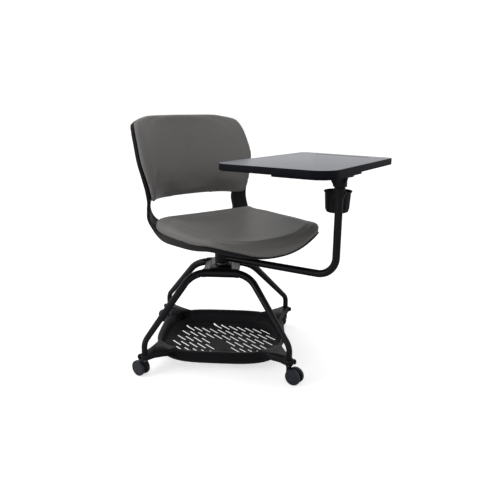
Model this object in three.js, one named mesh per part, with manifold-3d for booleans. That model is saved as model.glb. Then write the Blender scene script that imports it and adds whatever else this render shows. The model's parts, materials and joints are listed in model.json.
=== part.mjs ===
// A student desk chair: a padded swivel seat on a four-legged arched base with casters and a slotted bag
// tray, and a writing tablet and cup holder on a swing arm. Sizes are millimetres, +Z is up and the floor
// is at zero. The base stands square to the axes with its front towards -Y. The seat and the arm turn
// about the upright spindle, and stand here as they do in use.
import * as THREE from "three";
import { mergeGeometries, mergeVertices } from "three/addons/utils/BufferGeometryUtils.js";
import Module from "manifold-3d";

const wasm = await Module();
wasm.setup();

// How the chair stands
const seatTurnDegrees = 38.7; // the seat faces this far round from the front of the base
const armTurnDegrees = 62.4; // the arm points this far round from the front of the base
const casterTrailDegrees = { front_left: -34, front_right: 144, rear_left: 182, rear_right: 150 };

// Clearances and cutting
const fitGap = 0.3; // between pieces that touch or turn on each other
const cutOverrun = 4; // how far a cutter runs past the face that it cuts
const weldDistance = 0.001; // vertices closer than this are one vertex

// Base: two arched, tapered tubes
const legHalfSpan = 238; // spindle to a caster stem, across
const legHalfDepth = 231; // spindle to a caster stem, front to back
const archHalfDepth = 69; // spindle to the top of each arch, front to back
const archHalfTop = 96; // where a leg's line meets the line of the arch top
const archHeight = 315.5; // centre of the tube at the top of the arch
const kneeHeight = 122; // where the slanted leg meets the upright foot
const footHeight = 66; // open lower end of each foot
const tubeTopRadius = 13;
const tubeFootRadius = 9.7;
const archBendRadius = 88;
const kneeBendRadius = 42;
const tubeSides = 12;
const archBendSteps = 6;
const kneeBendSteps = 3;

// Base: the cast hub that carries both arches and the spindle
const hubHalfWidth = 62;
const hubRise = 17.5; // centre of the arch tube to the hub's top
const hubSleeveWall = 2.6;
const hubShoulderDrop = 14; // height of the sloping shoulders below the hub's top
const hubPlateauHalfWidth = 34;
const hubPocketInset = 17; // the underside is hollowed out this far inside the casting
const hubCrown = 9; // metal left over the hollow

// Spindle, washers and bushes
const spindleRadius = 14;
const spindleReach = 72; // the spindle stands up this far from the hub's top
const spindleSides = 18;
const clipGrooveDepth = 2;
const clipThickness = 2;
const clipRadius = 17.5;
const washerThickness = 1.2;
const bushWall = 2.5;
const bushFlange = 3.2; // how far a bush's flange stands out past its barrel
const bushFlangeThickness = 1.5;

// Swing arm
const armCollarRadius = 25.5;
const armCollarHeight = 38;
const armReach = 424.5; // spindle to the upright post
const armTubeRadius = 12.2;
const armTubeSides = 14;
const armBendRadius = 62;
const armBendSteps = 6;
const postTop = 662;

// Cup holder and its clamp on the post
const cupHeight = 68;
const cupDrop = 110; // top of the post to the cup's underside
const cupTopRadius = 40.5;
const cupBottomRadius = 36;
const cupLip = 4;
const cupLipHeight = 7;
const cupWall = 2.2;
const cupCorner = 8;
const cupRibCount = 12;
const cupRibDepth = 1;
const cupRibWidth = 2.4;
const cupBackset = 23; // cup centre behind the post, along the arm
const cupOffset = 48; // cup centre beside the post
const clampRadius = 17.5;
const clampDrop = 55; // top of the post to the clamp's underside
const clampHeight = 31;
const clampArmWidth = 13;
const clampScrewRadius = 2.5;
const clampScrewHeadRadius = 4.5;
const clampScrewHeadHeight = 3;

// Writing tablet
const tabletRise = 43; // top of the post to the tablet's top face
const tabletThickness = 22;
const tabletNearLength = 393; // edge over the post
const tabletFarLength = 350; // edge away from the post
const tabletWidth = 466; // between those two
const tabletNearSkew = 10; // how far the near edge swings out towards the front
const tabletFarSkew = -43; // how far the far edge swings in towards the front
const tabletFrontSkew = 39; // how far the front edge runs forward towards the far side
const tabletOverhang = 33; // past the post, along the arm, at the near front corner
const tabletSideReach = 157; // from the arm's line to the near edge, at its rear end
const tabletNearRearRadius = 42;
const tabletNearFrontRadius = 66; // the swept corner over the post
const tabletFarFrontRadius = 14;
const tabletFarRearRadius = 26;
const tabletEdgeBevel = 2;
const penGrooveInset = 30; // far edge of the tablet to the groove's centre
const penGrooveLength = 210;
const penGrooveWidth = 11;
const penGrooveDepth = 3;
const penGrooveEndShare = 0.98; // rounding of the groove's ends
const underplateThickness = 5;
const underplateInset = 1; // inside the tablet's edge
const underplateLength = 190;
const underplateWidth = 225;
const underplateCorner = 14;
const underplateSkin = 1; // left whole over the screw holes
const bracketFlangeRadius = 40;
const bracketFlangeThickness = 5;
const bracketSleeveRadius = 21.5;
const bracketSleeveDrop = 21; // how far the bracket's sleeve runs down over the post
const bracketRibCount = 3;
const bracketRibThickness = 5;
const bracketScrewCount = 3;
const bracketScrewCircle = 31;
const bracketScrewRadius = 2.2;
const bracketScrewHeadRadius = 4.2;
const bracketScrewHeadHeight = 2.6;

// Seat carrier under the shell
const seatHubRadius = 27;
const seatPlateThickness = 5;
const seatPlateRise = 79; // hub's top to the plate's top face
const seatPlateRear = -72;
const seatPlateFront = 176;
const seatPlateHalfWidth = 82;
const seatPlateCorner = 22;
const seatBoltRear = -50;
const seatBoltFront = 150;
const seatBoltHalfSpan = 62;
const seatBoltRadius = 3;
const seatBoltHeadRadius = 6.5;
const seatBoltHeadHeight = 4;
const seatBoltReach = 9; // how far a bolt runs up into the shell's boss
const shellBossRadius = 10;

// One-piece shell: the seat, the two side straps and the back are one curved moulding
const seatFront = 318; // spindle to the front lip
const backHeight = 426; // seat plate to the top edge
const shellHalfWidth = 233.5; // widest half width, in the back
const shellWall = 6.5;
const shellSeatRim = 13; // extra depth at the rim of the seat, its skirt
const shellBackRim = 5; // extra depth at the rim of the back
const shellFrontShare = 0.012; // the moulding stops this far behind the cushion's front lip
const skirtStartShares = [0.05, 0.14]; // where the skirt grows out of the thin front lip
const skirtEndShares = [0.27, 0.42]; // where it fades into the side straps
const shellSidePower = 2.2; // how the moulding curls up, or forward, towards its sides
const strapExtraPower = 8; // the side straps stand more upright than that
const strapMiddleShare = 0.535;
const strapSpanShare = 0.15;
const shellRows = 32;
const shellColumns = 12;
// Stations from the front lip to the top edge. Each row holds shares of seatFront, backHeight, shellHalfWidth,
// seatFront and backHeight: the centre line's reach and height, the half width, the rim's reach and height.
const shellStationShares = [
  [1.0, 0.0469, 0.5, 0.97, 0.0916],
  [0.956, 0.0341, 0.757, 0.912, 0.1339],
  [0.843, 0.0231, 0.877, 0.824, 0.1565],
  [0.597, 0.0212, 0.952, 0.597, 0.1423],
  [0.33, 0.0235, 0.972, 0.33, 0.1284],
  [0.079, 0.0302, 0.962, 0.079, 0.1138],
  [-0.157, 0.0499, 0.932, -0.133, 0.1044],
  [-0.321, 0.0872, 0.912, -0.28, 0.1158],
  [-0.44, 0.1266, 0.903, -0.374, 0.1549],
  [-0.555, 0.1738, 0.893, -0.437, 0.2019],
  [-0.66, 0.2488, 0.872, -0.459, 0.2582],
  [-0.692, 0.3192, 0.867, -0.459, 0.3239],
  [-0.705, 0.4177, 0.903, -0.449, 0.4177],
  [-0.72, 0.5236, 0.951, -0.455, 0.5236],
  [-0.77, 0.6526, 0.996, -0.487, 0.6526],
  [-0.846, 0.7935, 0.987, -0.572, 0.7935],
  [-0.906, 0.892, 0.966, -0.641, 0.8853],
  [-0.938, 0.9587, 0.925, -0.703, 0.9441],
  [-0.953, 0.9961, 0.8, -0.746, 0.9774],
];

// The opening between seat and back
const windowBottomRise = 52; // seat plate to the opening's lower edge
const windowTopRise = 139;
const windowTopSag = 6; // the top edge is this much lower at its ends
const windowHalfWidth = 178;
const windowBottomFullness = 0.78; // how far out the bottom edge stays low, as a share of the half width
const windowSideHeight = 16; // how far below the top edge the sides start to round in

// Cushions
const seatCushionGap = 1.2; // cushion to shell, along the shell's normal
const backCushionGap = 3.3;
const seatCushionThickness = 54;
const seatCushionStartShare = 0;
const seatCushionEndShare = 0.418;
const seatCushionOverhangShare = 1.012; // half width of the cushion against the shell's
const backCushionThickness = 26;
const backCushionStartShare = 0.613;
const backCushionEndShare = 0.99;
const backCushionOverhangShare = 0.975;
const backCushionSagShare = 0.012; // its lower corners run down this much further
const cushionTuckShare = 0.035; // its underside is drawn in by this share of the half width
const cushionEdgeShare = 0.42; // height of its widest line
const crownSidePower = 8;
const crownEndPower = 18;
const crownFullness = 0.5;
const seatCushionRows = 14;
const backCushionRows = 18;
const cushionColumns = 12;

// Bag tray
const trayHalfWidth = 229;
const trayHalfDepth = 195;
const trayRimTop = 76;
const trayRimDrop = 5;
const trayRimWidth = 12;
const trayUnderside = 20;
const trayFloorThickness = 2.6;
const trayWall = 3;
const trayWallSlope = 4; // how far the wall leans out from its foot to the rim
const trayCornerReach = 22; // the floor curves up into the wall over this width
const trayCornerRise = 20;
const trayOutlinePower = 3.4;
const trayOutlineSteps = 48;
const slotLength = 56;
const slotWidth = 8;
const slotPitchAlong = 78;
const slotPitchAcross = 19;
const slotTurnDegrees = -48;
const slotClimb = 16; // how far the slots run on up the curve from the floor to the wall
const badgeHalfLength = 38; // plain oval left unslotted in the floor
const badgeHalfWidth = 22;
const badgeForward = 24;
const earBottom = 62;
const earHeight = 17;
const earRootDrop = 16; // the ear's underside runs down by this much to its root
const earRootHalfWidth = 44;
const earRootInset = 18; // how far the ear's root runs in past the tray's outline
const earNeckShare = 0.3; // the ear is at its slimmest this share of the way in from the leg
const earRingWall = 5.5;
const knobHeadRadius = 9.5;
const knobHeadHeight = 8;
const knobShankRadius = 3;

// Casters
const wheelRadius = 26.5;
const wheelWidth = 11.5;
const wheelEdgeRadius = 3;
const wheelDish = 2; // depth of the dished outer face
const wheelHubRadius = 8;
const wheelSides = 16;
const casterTrail = 22; // stem axis to wheel axle
const casterWebThickness = 12; // the body between the wheels
const casterSideGap = 0.6;
const casterBodyRadius = 23.5; // smaller than the wheels, so that each stands out as a disc
const hoodGap = 1.3; // tread to the boss over it
const hoodStartDegrees = 38;
const hoodEndDegrees = 158;
const hoodSteps = 3;
const casterBossRadius = 10;
const casterBossTop = 57.5;
const casterNeckLength = 14;
const axleRadius = 3;
const axleEndCover = 4; // wheel left over the end of the axle
const stemRadius = 5.5;
const stemPinRadius = 3; // the lower end, inside the hood
const stemFlangeRadius = 9;
const stemTop = 98;
const stemBottom = 34;
const plugRadius = 7.4;
const plugFlangeThickness = 3;
const plugTop = 100;
const smallSides = 8;
const cornerSegments = 3;

// Materials
const finishes = {
  coatedSteel: { color: 0x17181a, roughness: 0.38, metalness: 0.55 },
  plainSteel: { color: 0xa9abae, roughness: 0.35, metalness: 1 },
  blackPlastic: { color: 0x1b1c1e, roughness: 0.55, metalness: 0 },
  wheelPlastic: { color: 0x2b2c33, roughness: 0.5, metalness: 0 },
  leatherette: { color: 0x6b6763, roughness: 0.5, metalness: 0 },
  tabletLaminate: { color: 0x5c5e63, roughness: 0.35, metalness: 0 },
};
const materials = {};
for (const [name, finish] of Object.entries(finishes)) {
  materials[name] = new THREE.MeshStandardMaterial(finish);
}

const radians = THREE.MathUtils.degToRad;

// Solids

function solidOf(geometry) {
  const bare = geometry.clone();
  bare.deleteAttribute("normal");
  bare.deleteAttribute("uv");
  const welded = mergeVertices(bare, weldDistance);
  const vertProperties = welded.attributes.position.array;
  const triVerts = new Uint32Array(welded.index.array);
  return new wasm.Manifold(new wasm.Mesh({ numProp: 3, vertProperties, triVerts }));
}

function geometryOf(solid) {
  const { vertProperties, triVerts } = solid.getMesh();
  const geometry = new THREE.BufferGeometry();
  geometry.setAttribute("position", new THREE.BufferAttribute(vertProperties, 3));
  geometry.setIndex(new THREE.BufferAttribute(triVerts, 1));
  geometry.computeVertexNormals();
  return geometry;
}

function joined(...geometries) {
  const solids = geometries.map(solidOf);
  return geometryOf(solids.reduce((whole, next) => whole.add(next)));
}

function cut(geometry, ...cutters) {
  const solids = cutters.map(solidOf);
  return geometryOf(solids.reduce((rest, cutter) => rest.subtract(cutter), solidOf(geometry)));
}

// A revolved solid about Z from a profile of [radius, height] pairs, outer side upwards.
function revolved(profile, sides) {
  const points = profile.map(([radius, height]) => new THREE.Vector2(radius, height));
  return new THREE.LatheGeometry(points, sides).rotateX(Math.PI / 2);
}

function rod(radius, bottom, top, sides = smallSides) {
  const geometry = new THREE.CylinderGeometry(radius, radius, top - bottom, sides);
  return geometry.rotateX(Math.PI / 2).translate(0, 0, (top + bottom) / 2);
}

function ring(outer, inner, bottom, top, sides = spindleSides) {
  const profile = [[inner, bottom], [outer, bottom], [outer, top], [inner, top], [inner, bottom]];
  return revolved(profile, sides);
}

// A flat plate from an outline in X and Y.
function plate(shape, bottom, thickness, bevel = 0) {
  const settings = {
    depth: thickness - 2 * bevel,
    bevelEnabled: bevel > 0,
    bevelThickness: bevel,
    bevelSize: bevel,
    bevelOffset: -bevel,
    bevelSegments: 1,
    curveSegments: cornerSegments,
  };
  return new THREE.ExtrudeGeometry(shape, settings).translate(0, 0, bottom + bevel);
}

// A rounded rectangle; radii run from the low-X low-Y corner counter-clockwise.
function roundedRectangle(lowX, highX, lowY, highY, radii) {
  const [first, second, third, fourth] = Array.isArray(radii) ? radii : [radii, radii, radii, radii];
  const shape = new THREE.Shape();
  shape.moveTo(lowX + first, lowY);
  shape.lineTo(highX - second, lowY);
  shape.absarc(highX - second, lowY + second, second, -Math.PI / 2, 0);
  shape.lineTo(highX, highY - third);
  shape.absarc(highX - third, highY - third, third, 0, Math.PI / 2);
  shape.lineTo(lowX + fourth, highY);
  shape.absarc(lowX + fourth, highY - fourth, fourth, Math.PI / 2, Math.PI);
  shape.lineTo(lowX, lowY + first);
  shape.absarc(lowX + first, lowY + first, first, Math.PI, 1.5 * Math.PI);
  return shape;
}

// Straight runs joined by round bends, with a station at each end of a run and a few round each bend.
class BentPath extends THREE.Curve {
  constructor(corners, bendRadii, bendSteps) {
    super();
    this.stations = [];
    const last = corners.length - 1;
    corners.forEach((corner, index) => {
      if (index === 0 || index === last) {
        const from = corners[Math.max(index - 1, 0)];
        const to = corners[Math.min(index + 1, last)];
        this.stations.push({ point: corner.clone(), tangent: to.clone().sub(from).normalize() });
        return;
      }
      const before = corner.clone().sub(corners[index - 1]).normalize();
      const after = corners[index + 1].clone().sub(corner).normalize();
      const turn = before.angleTo(after);
      const radius = bendRadii[index - 1];
      const setback = radius * Math.tan(turn / 2);
      const axis = before.clone().cross(after).normalize();
      const start = corner.clone().addScaledVector(before, -setback);
      const spoke = before.clone().cross(axis).multiplyScalar(radius);
      const centre = start.clone().sub(spoke);
      const steps = bendSteps[index - 1];
      for (let step = 0; step <= steps; step++) {
        const angle = (turn * step) / steps;
        this.stations.push({
          point: spoke.clone().applyAxisAngle(axis, angle).add(centre),
          tangent: before.clone().applyAxisAngle(axis, angle),
        });
      }
    });
  }

  getUtoTmapping(share) {
    return share;
  }

  at(share) {
    const place = share * (this.stations.length - 1);
    const index = Math.min(Math.round(place), this.stations.length - 1);
    return this.stations[index];
  }

  getPoint(share, target = new THREE.Vector3()) {
    return target.copy(this.at(share).point);
  }

  getTangent(share, target = new THREE.Vector3()) {
    return target.copy(this.at(share).tangent);
  }
}

// A round tube or bar along a bent path.
function tubeAlong(path, radius, sides) {
  const section = new THREE.Shape();
  section.absarc(0, 0, radius, 0, 2 * Math.PI);
  const steps = path.stations.length - 1;
  // A full circle is drawn with twice as many sides as its curveSegments.
  return new THREE.ExtrudeGeometry(section, { steps, curveSegments: sides / 2, extrudePath: path });
}

// A skin over a row of closed rings with the same number of points, closed by a fan at each end.
function skinOver(rings) {
  const count = rings[0].length;
  const points = rings.flat();
  const middle = (loop) => loop.reduce((sum, point) => sum.add(point), new THREE.Vector3()).divideScalar(count);
  const firstMiddle = points.push(middle(rings[0])) - 1;
  const lastMiddle = points.push(middle(rings.at(-1))) - 1;
  const lastStart = (rings.length - 1) * count;
  const faces = [];
  for (let side = 0; side < count; side++) {
    const next = (side + 1) % count;
    faces.push(firstMiddle, next, side);
    faces.push(lastMiddle, lastStart + side, lastStart + next);
    for (let level = 0; level < rings.length - 1; level++) {
      const low = level * count;
      const high = low + count;
      faces.push(low + side, low + next, high + next);
      faces.push(low + side, high + next, high + side);
    }
  }
  return new THREE.BufferGeometry().setFromPoints(points).setIndex(faces);
}

// A tube whose radius changes from station to station.
function taperedTube(path, radiusAt, sides) {
  const side = new THREE.Vector3(0, 1, 0).cross(path.stations[0].tangent).normalize();
  let before = path.stations[0].tangent;
  const rings = path.stations.map(({ point, tangent }) => {
    side.applyQuaternion(new THREE.Quaternion().setFromUnitVectors(before, tangent));
    before = tangent;
    const up = tangent.clone().cross(side);
    const radius = radiusAt(point);
    return Array.from({ length: sides }, (_, index) => {
      const angle = (2 * Math.PI * index) / sides;
      return point
        .clone()
        .addScaledVector(side, radius * Math.cos(angle))
        .addScaledVector(up, radius * Math.sin(angle));
    });
  });
  return skinOver(rings);
}

// A closed panel between an upper and a lower grid of points.
function panelBetween(upper, lower) {
  const rows = upper.length;
  const columns = upper[0].length;
  const points = [...upper.flat(), ...lower.flat()];
  const upperAt = (row, column) => row * columns + column;
  const lowerAt = (row, column) => rows * columns + upperAt(row, column);
  const faces = [];
  for (let row = 0; row < rows - 1; row++) {
    for (let column = 0; column < columns - 1; column++) {
      const [a, b] = [upperAt(row, column), upperAt(row, column + 1)];
      const [d, c] = [upperAt(row + 1, column), upperAt(row + 1, column + 1)];
      faces.push(a, b, c, a, c, d);
      const [e, f] = [lowerAt(row, column), lowerAt(row, column + 1)];
      const [h, g] = [lowerAt(row + 1, column), lowerAt(row + 1, column + 1)];
      faces.push(e, g, f, e, h, g);
    }
  }
  const wall = (fromRow, fromColumn, toRow, toColumn) => {
    const [p, q] = [upperAt(fromRow, fromColumn), upperAt(toRow, toColumn)];
    const [r, s] = [lowerAt(fromRow, fromColumn), lowerAt(toRow, toColumn)];
    faces.push(q, p, r, q, r, s);
  };
  for (let column = 0; column < columns - 1; column++) {
    wall(0, column, 0, column + 1);
    wall(rows - 1, column + 1, rows - 1, column);
  }
  for (let row = 0; row < rows - 1; row++) {
    wall(row, columns - 1, row + 1, columns - 1);
    wall(row + 1, 0, row, 0);
  }
  return new THREE.BufferGeometry().setFromPoints(points).setIndex(faces);
}

// Base frame

// The four corners of the base, named as someone sitting and facing -Y sees them.
const cornerSides = {
  front_left: { across: 1, along: -1 },
  front_right: { across: -1, along: -1 },
  rear_left: { across: 1, along: 1 },
  rear_right: { across: -1, along: 1 },
};

function archPath(along, bottom = footHeight) {
  const corner = (across, halfWidth, halfDepth, height) =>
    new THREE.Vector3(across * halfWidth, along * halfDepth, height);
  const corners = [
    corner(-1, legHalfSpan, legHalfDepth, bottom),
    corner(-1, legHalfSpan, legHalfDepth, kneeHeight),
    corner(-1, archHalfTop, archHalfDepth, archHeight),
    corner(1, archHalfTop, archHalfDepth, archHeight),
    corner(1, legHalfSpan, legHalfDepth, kneeHeight),
    corner(1, legHalfSpan, legHalfDepth, bottom),
  ];
  const radii = [kneeBendRadius, archBendRadius, archBendRadius, kneeBendRadius];
  return new BentPath(corners, radii, [kneeBendSteps, archBendSteps, archBendSteps, kneeBendSteps]);
}

function legRadiusAt(point, extra = 0) {
  const climb = (point.z - kneeHeight) / (archHeight - kneeHeight);
  const share = THREE.MathUtils.clamp(climb, 0, 1);
  return THREE.MathUtils.lerp(tubeFootRadius, tubeTopRadius, share) + extra;
}

function archTube(along) {
  const tube = taperedTube(archPath(along), (point) => legRadiusAt(point), tubeSides);
  const sockets = [-1, 1].map((across) =>
    rod(plugRadius + fitGap, footHeight - cutOverrun, plugTop + fitGap, tubeSides)
      .translate(across * legHalfSpan, along * legHalfDepth, 0),
  );
  return cut(tube, ...sockets);
}

const hubTop = archHeight + hubRise;

function hubCasting() {
  const lowest = archHeight - tubeTopRadius - hubSleeveWall;
  const shoulder = hubTop - hubShoulderDrop;
  const outline = new THREE.Shape();
  outline.moveTo(-hubHalfWidth, lowest);
  outline.lineTo(hubHalfWidth, lowest);
  outline.lineTo(hubHalfWidth, shoulder);
  outline.lineTo(hubPlateauHalfWidth, hubTop);
  outline.lineTo(-hubPlateauHalfWidth, hubTop);
  outline.lineTo(-hubHalfWidth, shoulder);
  outline.closePath();
  const saddle = new THREE.ExtrudeGeometry(outline, { depth: 2 * archHalfDepth, bevelEnabled: false })
    .translate(0, 0, -archHalfDepth)
    .rotateX(Math.PI / 2);
  const sleeves = [-1, 1].map((along) => {
    const middle = new THREE.BoxGeometry(2 * hubHalfWidth, 3 * tubeTopRadius, 4 * tubeTopRadius);
    middle.translate(0, along * archHalfDepth, archHeight);
    const outer = taperedTube(archPath(along), (point) => legRadiusAt(point, hubSleeveWall), tubeSides);
    return geometryOf(solidOf(outer).intersect(solidOf(middle)));
  });
  const pocketRear = archHalfDepth - tubeTopRadius - hubPocketInset;
  const pocketShape = roundedRectangle(
    hubPocketInset - hubHalfWidth,
    hubHalfWidth - hubPocketInset,
    -pocketRear,
    pocketRear,
    hubPocketInset / 2,
  );
  const pocket = plate(pocketShape, lowest - cutOverrun, hubTop - hubCrown - lowest + cutOverrun);
  const boss = rod(spindleRadius + hubPocketInset / 2, lowest, hubTop - hubCrown + hubShoulderDrop / 2);
  const tubes = [-1, 1].map((along) =>
    taperedTube(archPath(along), (point) => legRadiusAt(point, fitGap), tubeSides),
  );
  const bore = rod(spindleRadius + fitGap, lowest - cutOverrun, hubTop + cutOverrun, spindleSides);
  const body = joined(cut(joined(saddle, ...sleeves), pocket), boss);
  return cut(body, ...tubes, bore);
}

const hubUnderside = archHeight - tubeTopRadius - hubSleeveWall;
const armCollarBottom = hubTop + 2 * fitGap + washerThickness;
const armCollarTop = armCollarBottom + armCollarHeight;
const seatHubBottom = armCollarTop + 2 * fitGap + washerThickness;
const spindleTop = hubTop + spindleReach;
const seatPlateTop = hubTop + seatPlateRise;
const seatPlateBottom = seatPlateTop - seatPlateThickness;
const clipBottom = seatPlateBottom - 2 * clipThickness;

function spindle() {
  const shaft = rod(spindleRadius, hubUnderside, spindleTop, spindleSides);
  const groove = ring(
    spindleRadius + cutOverrun,
    spindleRadius - clipGrooveDepth,
    clipBottom,
    clipBottom + clipThickness + 2 * fitGap,
  );
  return cut(shaft, groove);
}

function retainingClip() {
  const low = clipBottom + fitGap;
  return ring(clipRadius, spindleRadius - clipGrooveDepth + fitGap, low, low + clipThickness);
}

const bushInner = spindleRadius + fitGap;
const bushOuter = bushInner + bushWall;

// A flanged plastic bush about Z; the flange is at its lower end, or at its upper end when turned over.
function spindleBush(bottom, top, flangeAtTop) {
  const flange = bushOuter + bushFlange;
  const profile = flangeAtTop
    ? [
        [bushInner, bottom],
        [bushOuter, bottom],
        [bushOuter, top - bushFlangeThickness],
        [flange, top - bushFlangeThickness],
        [flange, top],
        [bushInner, top],
        [bushInner, bottom],
      ]
    : [
        [bushInner, bottom],
        [flange, bottom],
        [flange, bottom + bushFlangeThickness],
        [bushOuter, bottom + bushFlangeThickness],
        [bushOuter, top],
        [bushInner, top],
        [bushInner, bottom],
      ];
  return revolved(profile, spindleSides);
}

// Bag tray

function trayOutline(halfWidth, halfDepth, height) {
  const power = 2 / trayOutlinePower;
  return Array.from({ length: trayOutlineSteps }, (_, index) => {
    const angle = (2 * Math.PI * index) / trayOutlineSteps;
    const [cosine, sine] = [Math.cos(angle), Math.sin(angle)];
    const x = halfWidth * Math.sign(cosine) * Math.abs(cosine) ** power;
    const y = halfDepth * Math.sign(sine) * Math.abs(sine) ** power;
    return new THREE.Vector3(x, y, height);
  });
}

function trayRing(inset, height) {
  return trayOutline(trayHalfWidth - inset, trayHalfDepth - inset, height);
}

const trayFloorTop = trayUnderside + trayFloorThickness;
const trayFloorInset = trayRimWidth + trayWallSlope + trayCornerReach;

// The curve from the floor up into the wall, as rings from the floor outwards.
function trayCorner(outward, base) {
  const wallFoot = trayRimWidth + trayWallSlope - outward;
  const middleShare = 1 - Math.SQRT1_2;
  return [
    trayRing(trayFloorInset, base),
    trayRing(wallFoot + trayCornerReach * middleShare, base + trayCornerRise * middleShare),
    trayRing(wallFoot, base + trayCornerRise),
  ];
}

function trayShell() {
  const rings = [
    ...trayCorner(trayWall, trayUnderside),
    trayRing(trayRimWidth - trayWall, trayRimTop - trayRimDrop),
    trayRing(0, trayRimTop - trayRimDrop),
    trayRing(0, trayRimTop - trayRimDrop / 2),
    trayRing(trayRimDrop / 2, trayRimTop),
    trayRing(trayRimWidth, trayRimTop - trayRimDrop / 4),
    ...trayCorner(0, trayFloorTop).reverse(),
  ];
  return skinOver(rings);
}

// All the floor's slots as one cutter: staggered rows of short dashes, leaving the rim and a plain oval whole.
function traySlots() {
  const turn = radians(slotTurnDegrees);
  const [alongX, alongY] = [Math.cos(turn), Math.sin(turn)];
  const floorHalfWidth = trayHalfWidth - trayFloorInset + slotClimb;
  const floorHalfDepth = trayHalfDepth - trayFloorInset + slotClimb;
  const insideFloor = (x, y) =>
    Math.abs(x / floorHalfWidth) ** trayOutlinePower + Math.abs(y / floorHalfDepth) ** trayOutlinePower < 1;
  const onBadge = (x, y) => Math.hypot(x / badgeHalfLength, (y + badgeForward) / badgeHalfWidth) < 1;
  const reach = trayHalfWidth + trayHalfDepth;
  const rowCount = Math.ceil(reach / slotPitchAcross);
  const dashCount = Math.ceil(reach / slotPitchAlong);
  const dashes = [];
  for (let row = -rowCount; row <= rowCount; row++) {
    const shift = (((row % 3) + 3) % 3) / 3;
    for (let dash = -dashCount; dash <= dashCount; dash++) {
      const along = (dash + shift) * slotPitchAlong;
      const across = row * slotPitchAcross;
      const x = along * alongX - across * alongY;
      const y = along * alongY + across * alongX;
      const ends = [-1, 0, 1].map((end) => [
        x + (end * slotLength * alongX) / 2,
        y + (end * slotLength * alongY) / 2,
      ]);
      if (!ends.every(([endX, endY]) => insideFloor(endX, endY) && !onBadge(endX, endY))) continue;
      const depth = cutOverrun + trayFloorThickness + trayCornerRise;
      const box = new THREE.BoxGeometry(slotLength, slotWidth, depth);
      box.rotateZ(turn).translate(x, y, trayUnderside - cutOverrun + depth / 2);
      dashes.push(box);
    }
  }
  return mergeGeometries(dashes);
}

// An ear from the tray's corner to a leg, flared at its root and rounded round the foot.
function trayEar({ across, along }) {
  const ringRadius = tubeFootRadius + fitGap + earRingWall;
  const [legX, legY] = [across * legHalfSpan, along * legHalfDepth];
  const cornerShare = Math.cos(Math.PI / 4) ** (2 / trayOutlinePower);
  const root = new THREE.Vector2(across * trayHalfWidth * cornerShare, along * trayHalfDepth * cornerShare);
  const inward = root.sub(new THREE.Vector2(legX, legY));
  const rootReach = inward.length() + earRootInset;
  inward.normalize();
  const sideways = new THREE.Vector2(-inward.y, inward.x);
  const at = (reach, offset) =>
    new THREE.Vector2(legX, legY).addScaledVector(inward, reach).addScaledVector(sideways, offset);
  const outline = new THREE.Shape();
  const startAngle = Math.atan2(-inward.y, -inward.x);
  const rootRight = at(rootReach, -earRootHalfWidth);
  const rootLeft = at(rootReach, earRootHalfWidth);
  const neckRight = at(rootReach * earNeckShare, -ringRadius);
  const neckLeft = at(rootReach * earNeckShare, ringRadius);
  const endRight = at(0, -ringRadius);
  outline.moveTo(rootRight.x, rootRight.y);
  outline.lineTo(rootLeft.x, rootLeft.y);
  outline.quadraticCurveTo(neckLeft.x, neckLeft.y, ...at(0, ringRadius).toArray());
  outline.absarc(legX, legY, ringRadius, startAngle - Math.PI / 2, startAngle + Math.PI / 2, false);
  outline.lineTo(endRight.x, endRight.y);
  outline.quadraticCurveTo(neckRight.x, neckRight.y, rootRight.x, rootRight.y);
  const ear = plate(outline, earBottom, earHeight);
  const { position } = ear.attributes;
  for (let index = 0; index < position.count; index++) {
    const fromLeg = new THREE.Vector2(position.getX(index) - legX, position.getY(index) - legY);
    const share = Math.max(fromLeg.dot(inward) / rootReach, 0);
    const isUnder = position.getZ(index) < earBottom + earHeight / 2;
    if (isUnder) position.setZ(index, earBottom - earRootDrop * share ** 2);
  }
  return ear;
}

function knobAxisHeight() {
  return earBottom + earHeight / 2;
}

function knobPlace(geometry, { across, along }) {
  return geometry
    .rotateY((across * Math.PI) / 2)
    .translate(across * legHalfSpan, along * legHalfDepth, knobAxisHeight());
}

function bagTray() {
  const ears = Object.values(cornerSides).map(trayEar);
  const hollow = skinOver([
    trayRing(trayRimWidth, trayRimTop + earHeight),
    trayRing(trayRimWidth, trayRimTop - trayRimDrop / 4),
    ...trayCorner(0, trayFloorTop).reverse(),
  ].reverse());
  const body = joined(cut(joined(...ears), hollow), trayShell());
  const bores = Object.values(cornerSides).map(({ across, along }) =>
    rod(tubeFootRadius + fitGap, earBottom - cutOverrun, earBottom + earHeight + cutOverrun, tubeSides)
      .translate(across * legHalfSpan, along * legHalfDepth, 0),
  );
  const screwHoles = Object.values(cornerSides).map((corner) =>
    knobPlace(rod(knobShankRadius + fitGap, 0, tubeFootRadius + earRingWall + cutOverrun), corner),
  );
  return cut(body, traySlots(), ...bores, ...screwHoles);
}

function trayKnob(corner) {
  const seat = tubeFootRadius + 2 * fitGap + earRingWall;
  const tip = tubeFootRadius + 2 * fitGap;
  const profile = [
    [0, tip],
    [knobShankRadius, tip],
    [knobShankRadius, seat],
    [knobHeadRadius, seat],
    [knobHeadRadius, seat + knobHeadHeight / 2],
    [knobHeadRadius / 2, seat + knobHeadHeight],
    [0, seat + knobHeadHeight],
  ];
  return knobPlace(revolved(profile, smallSides), corner);
}

// Casters: the stem is gripped by a plug in the leg, the hood turns on it and carries two wheels beside it

function legPlug({ across, along }) {
  const bore = stemRadius + fitGap;
  const flange = tubeFootRadius;
  const flangeTop = footHeight - fitGap;
  const flangeBottom = flangeTop - plugFlangeThickness;
  const profile = [
    [bore, flangeBottom],
    [flange, flangeBottom],
    [flange, flangeTop],
    [plugRadius, flangeTop],
    [plugRadius, plugTop],
    [bore, plugTop],
    [bore, flangeBottom],
  ];
  return revolved(profile, tubeSides).translate(across * legHalfSpan, along * legHalfDepth, 0);
}

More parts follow.
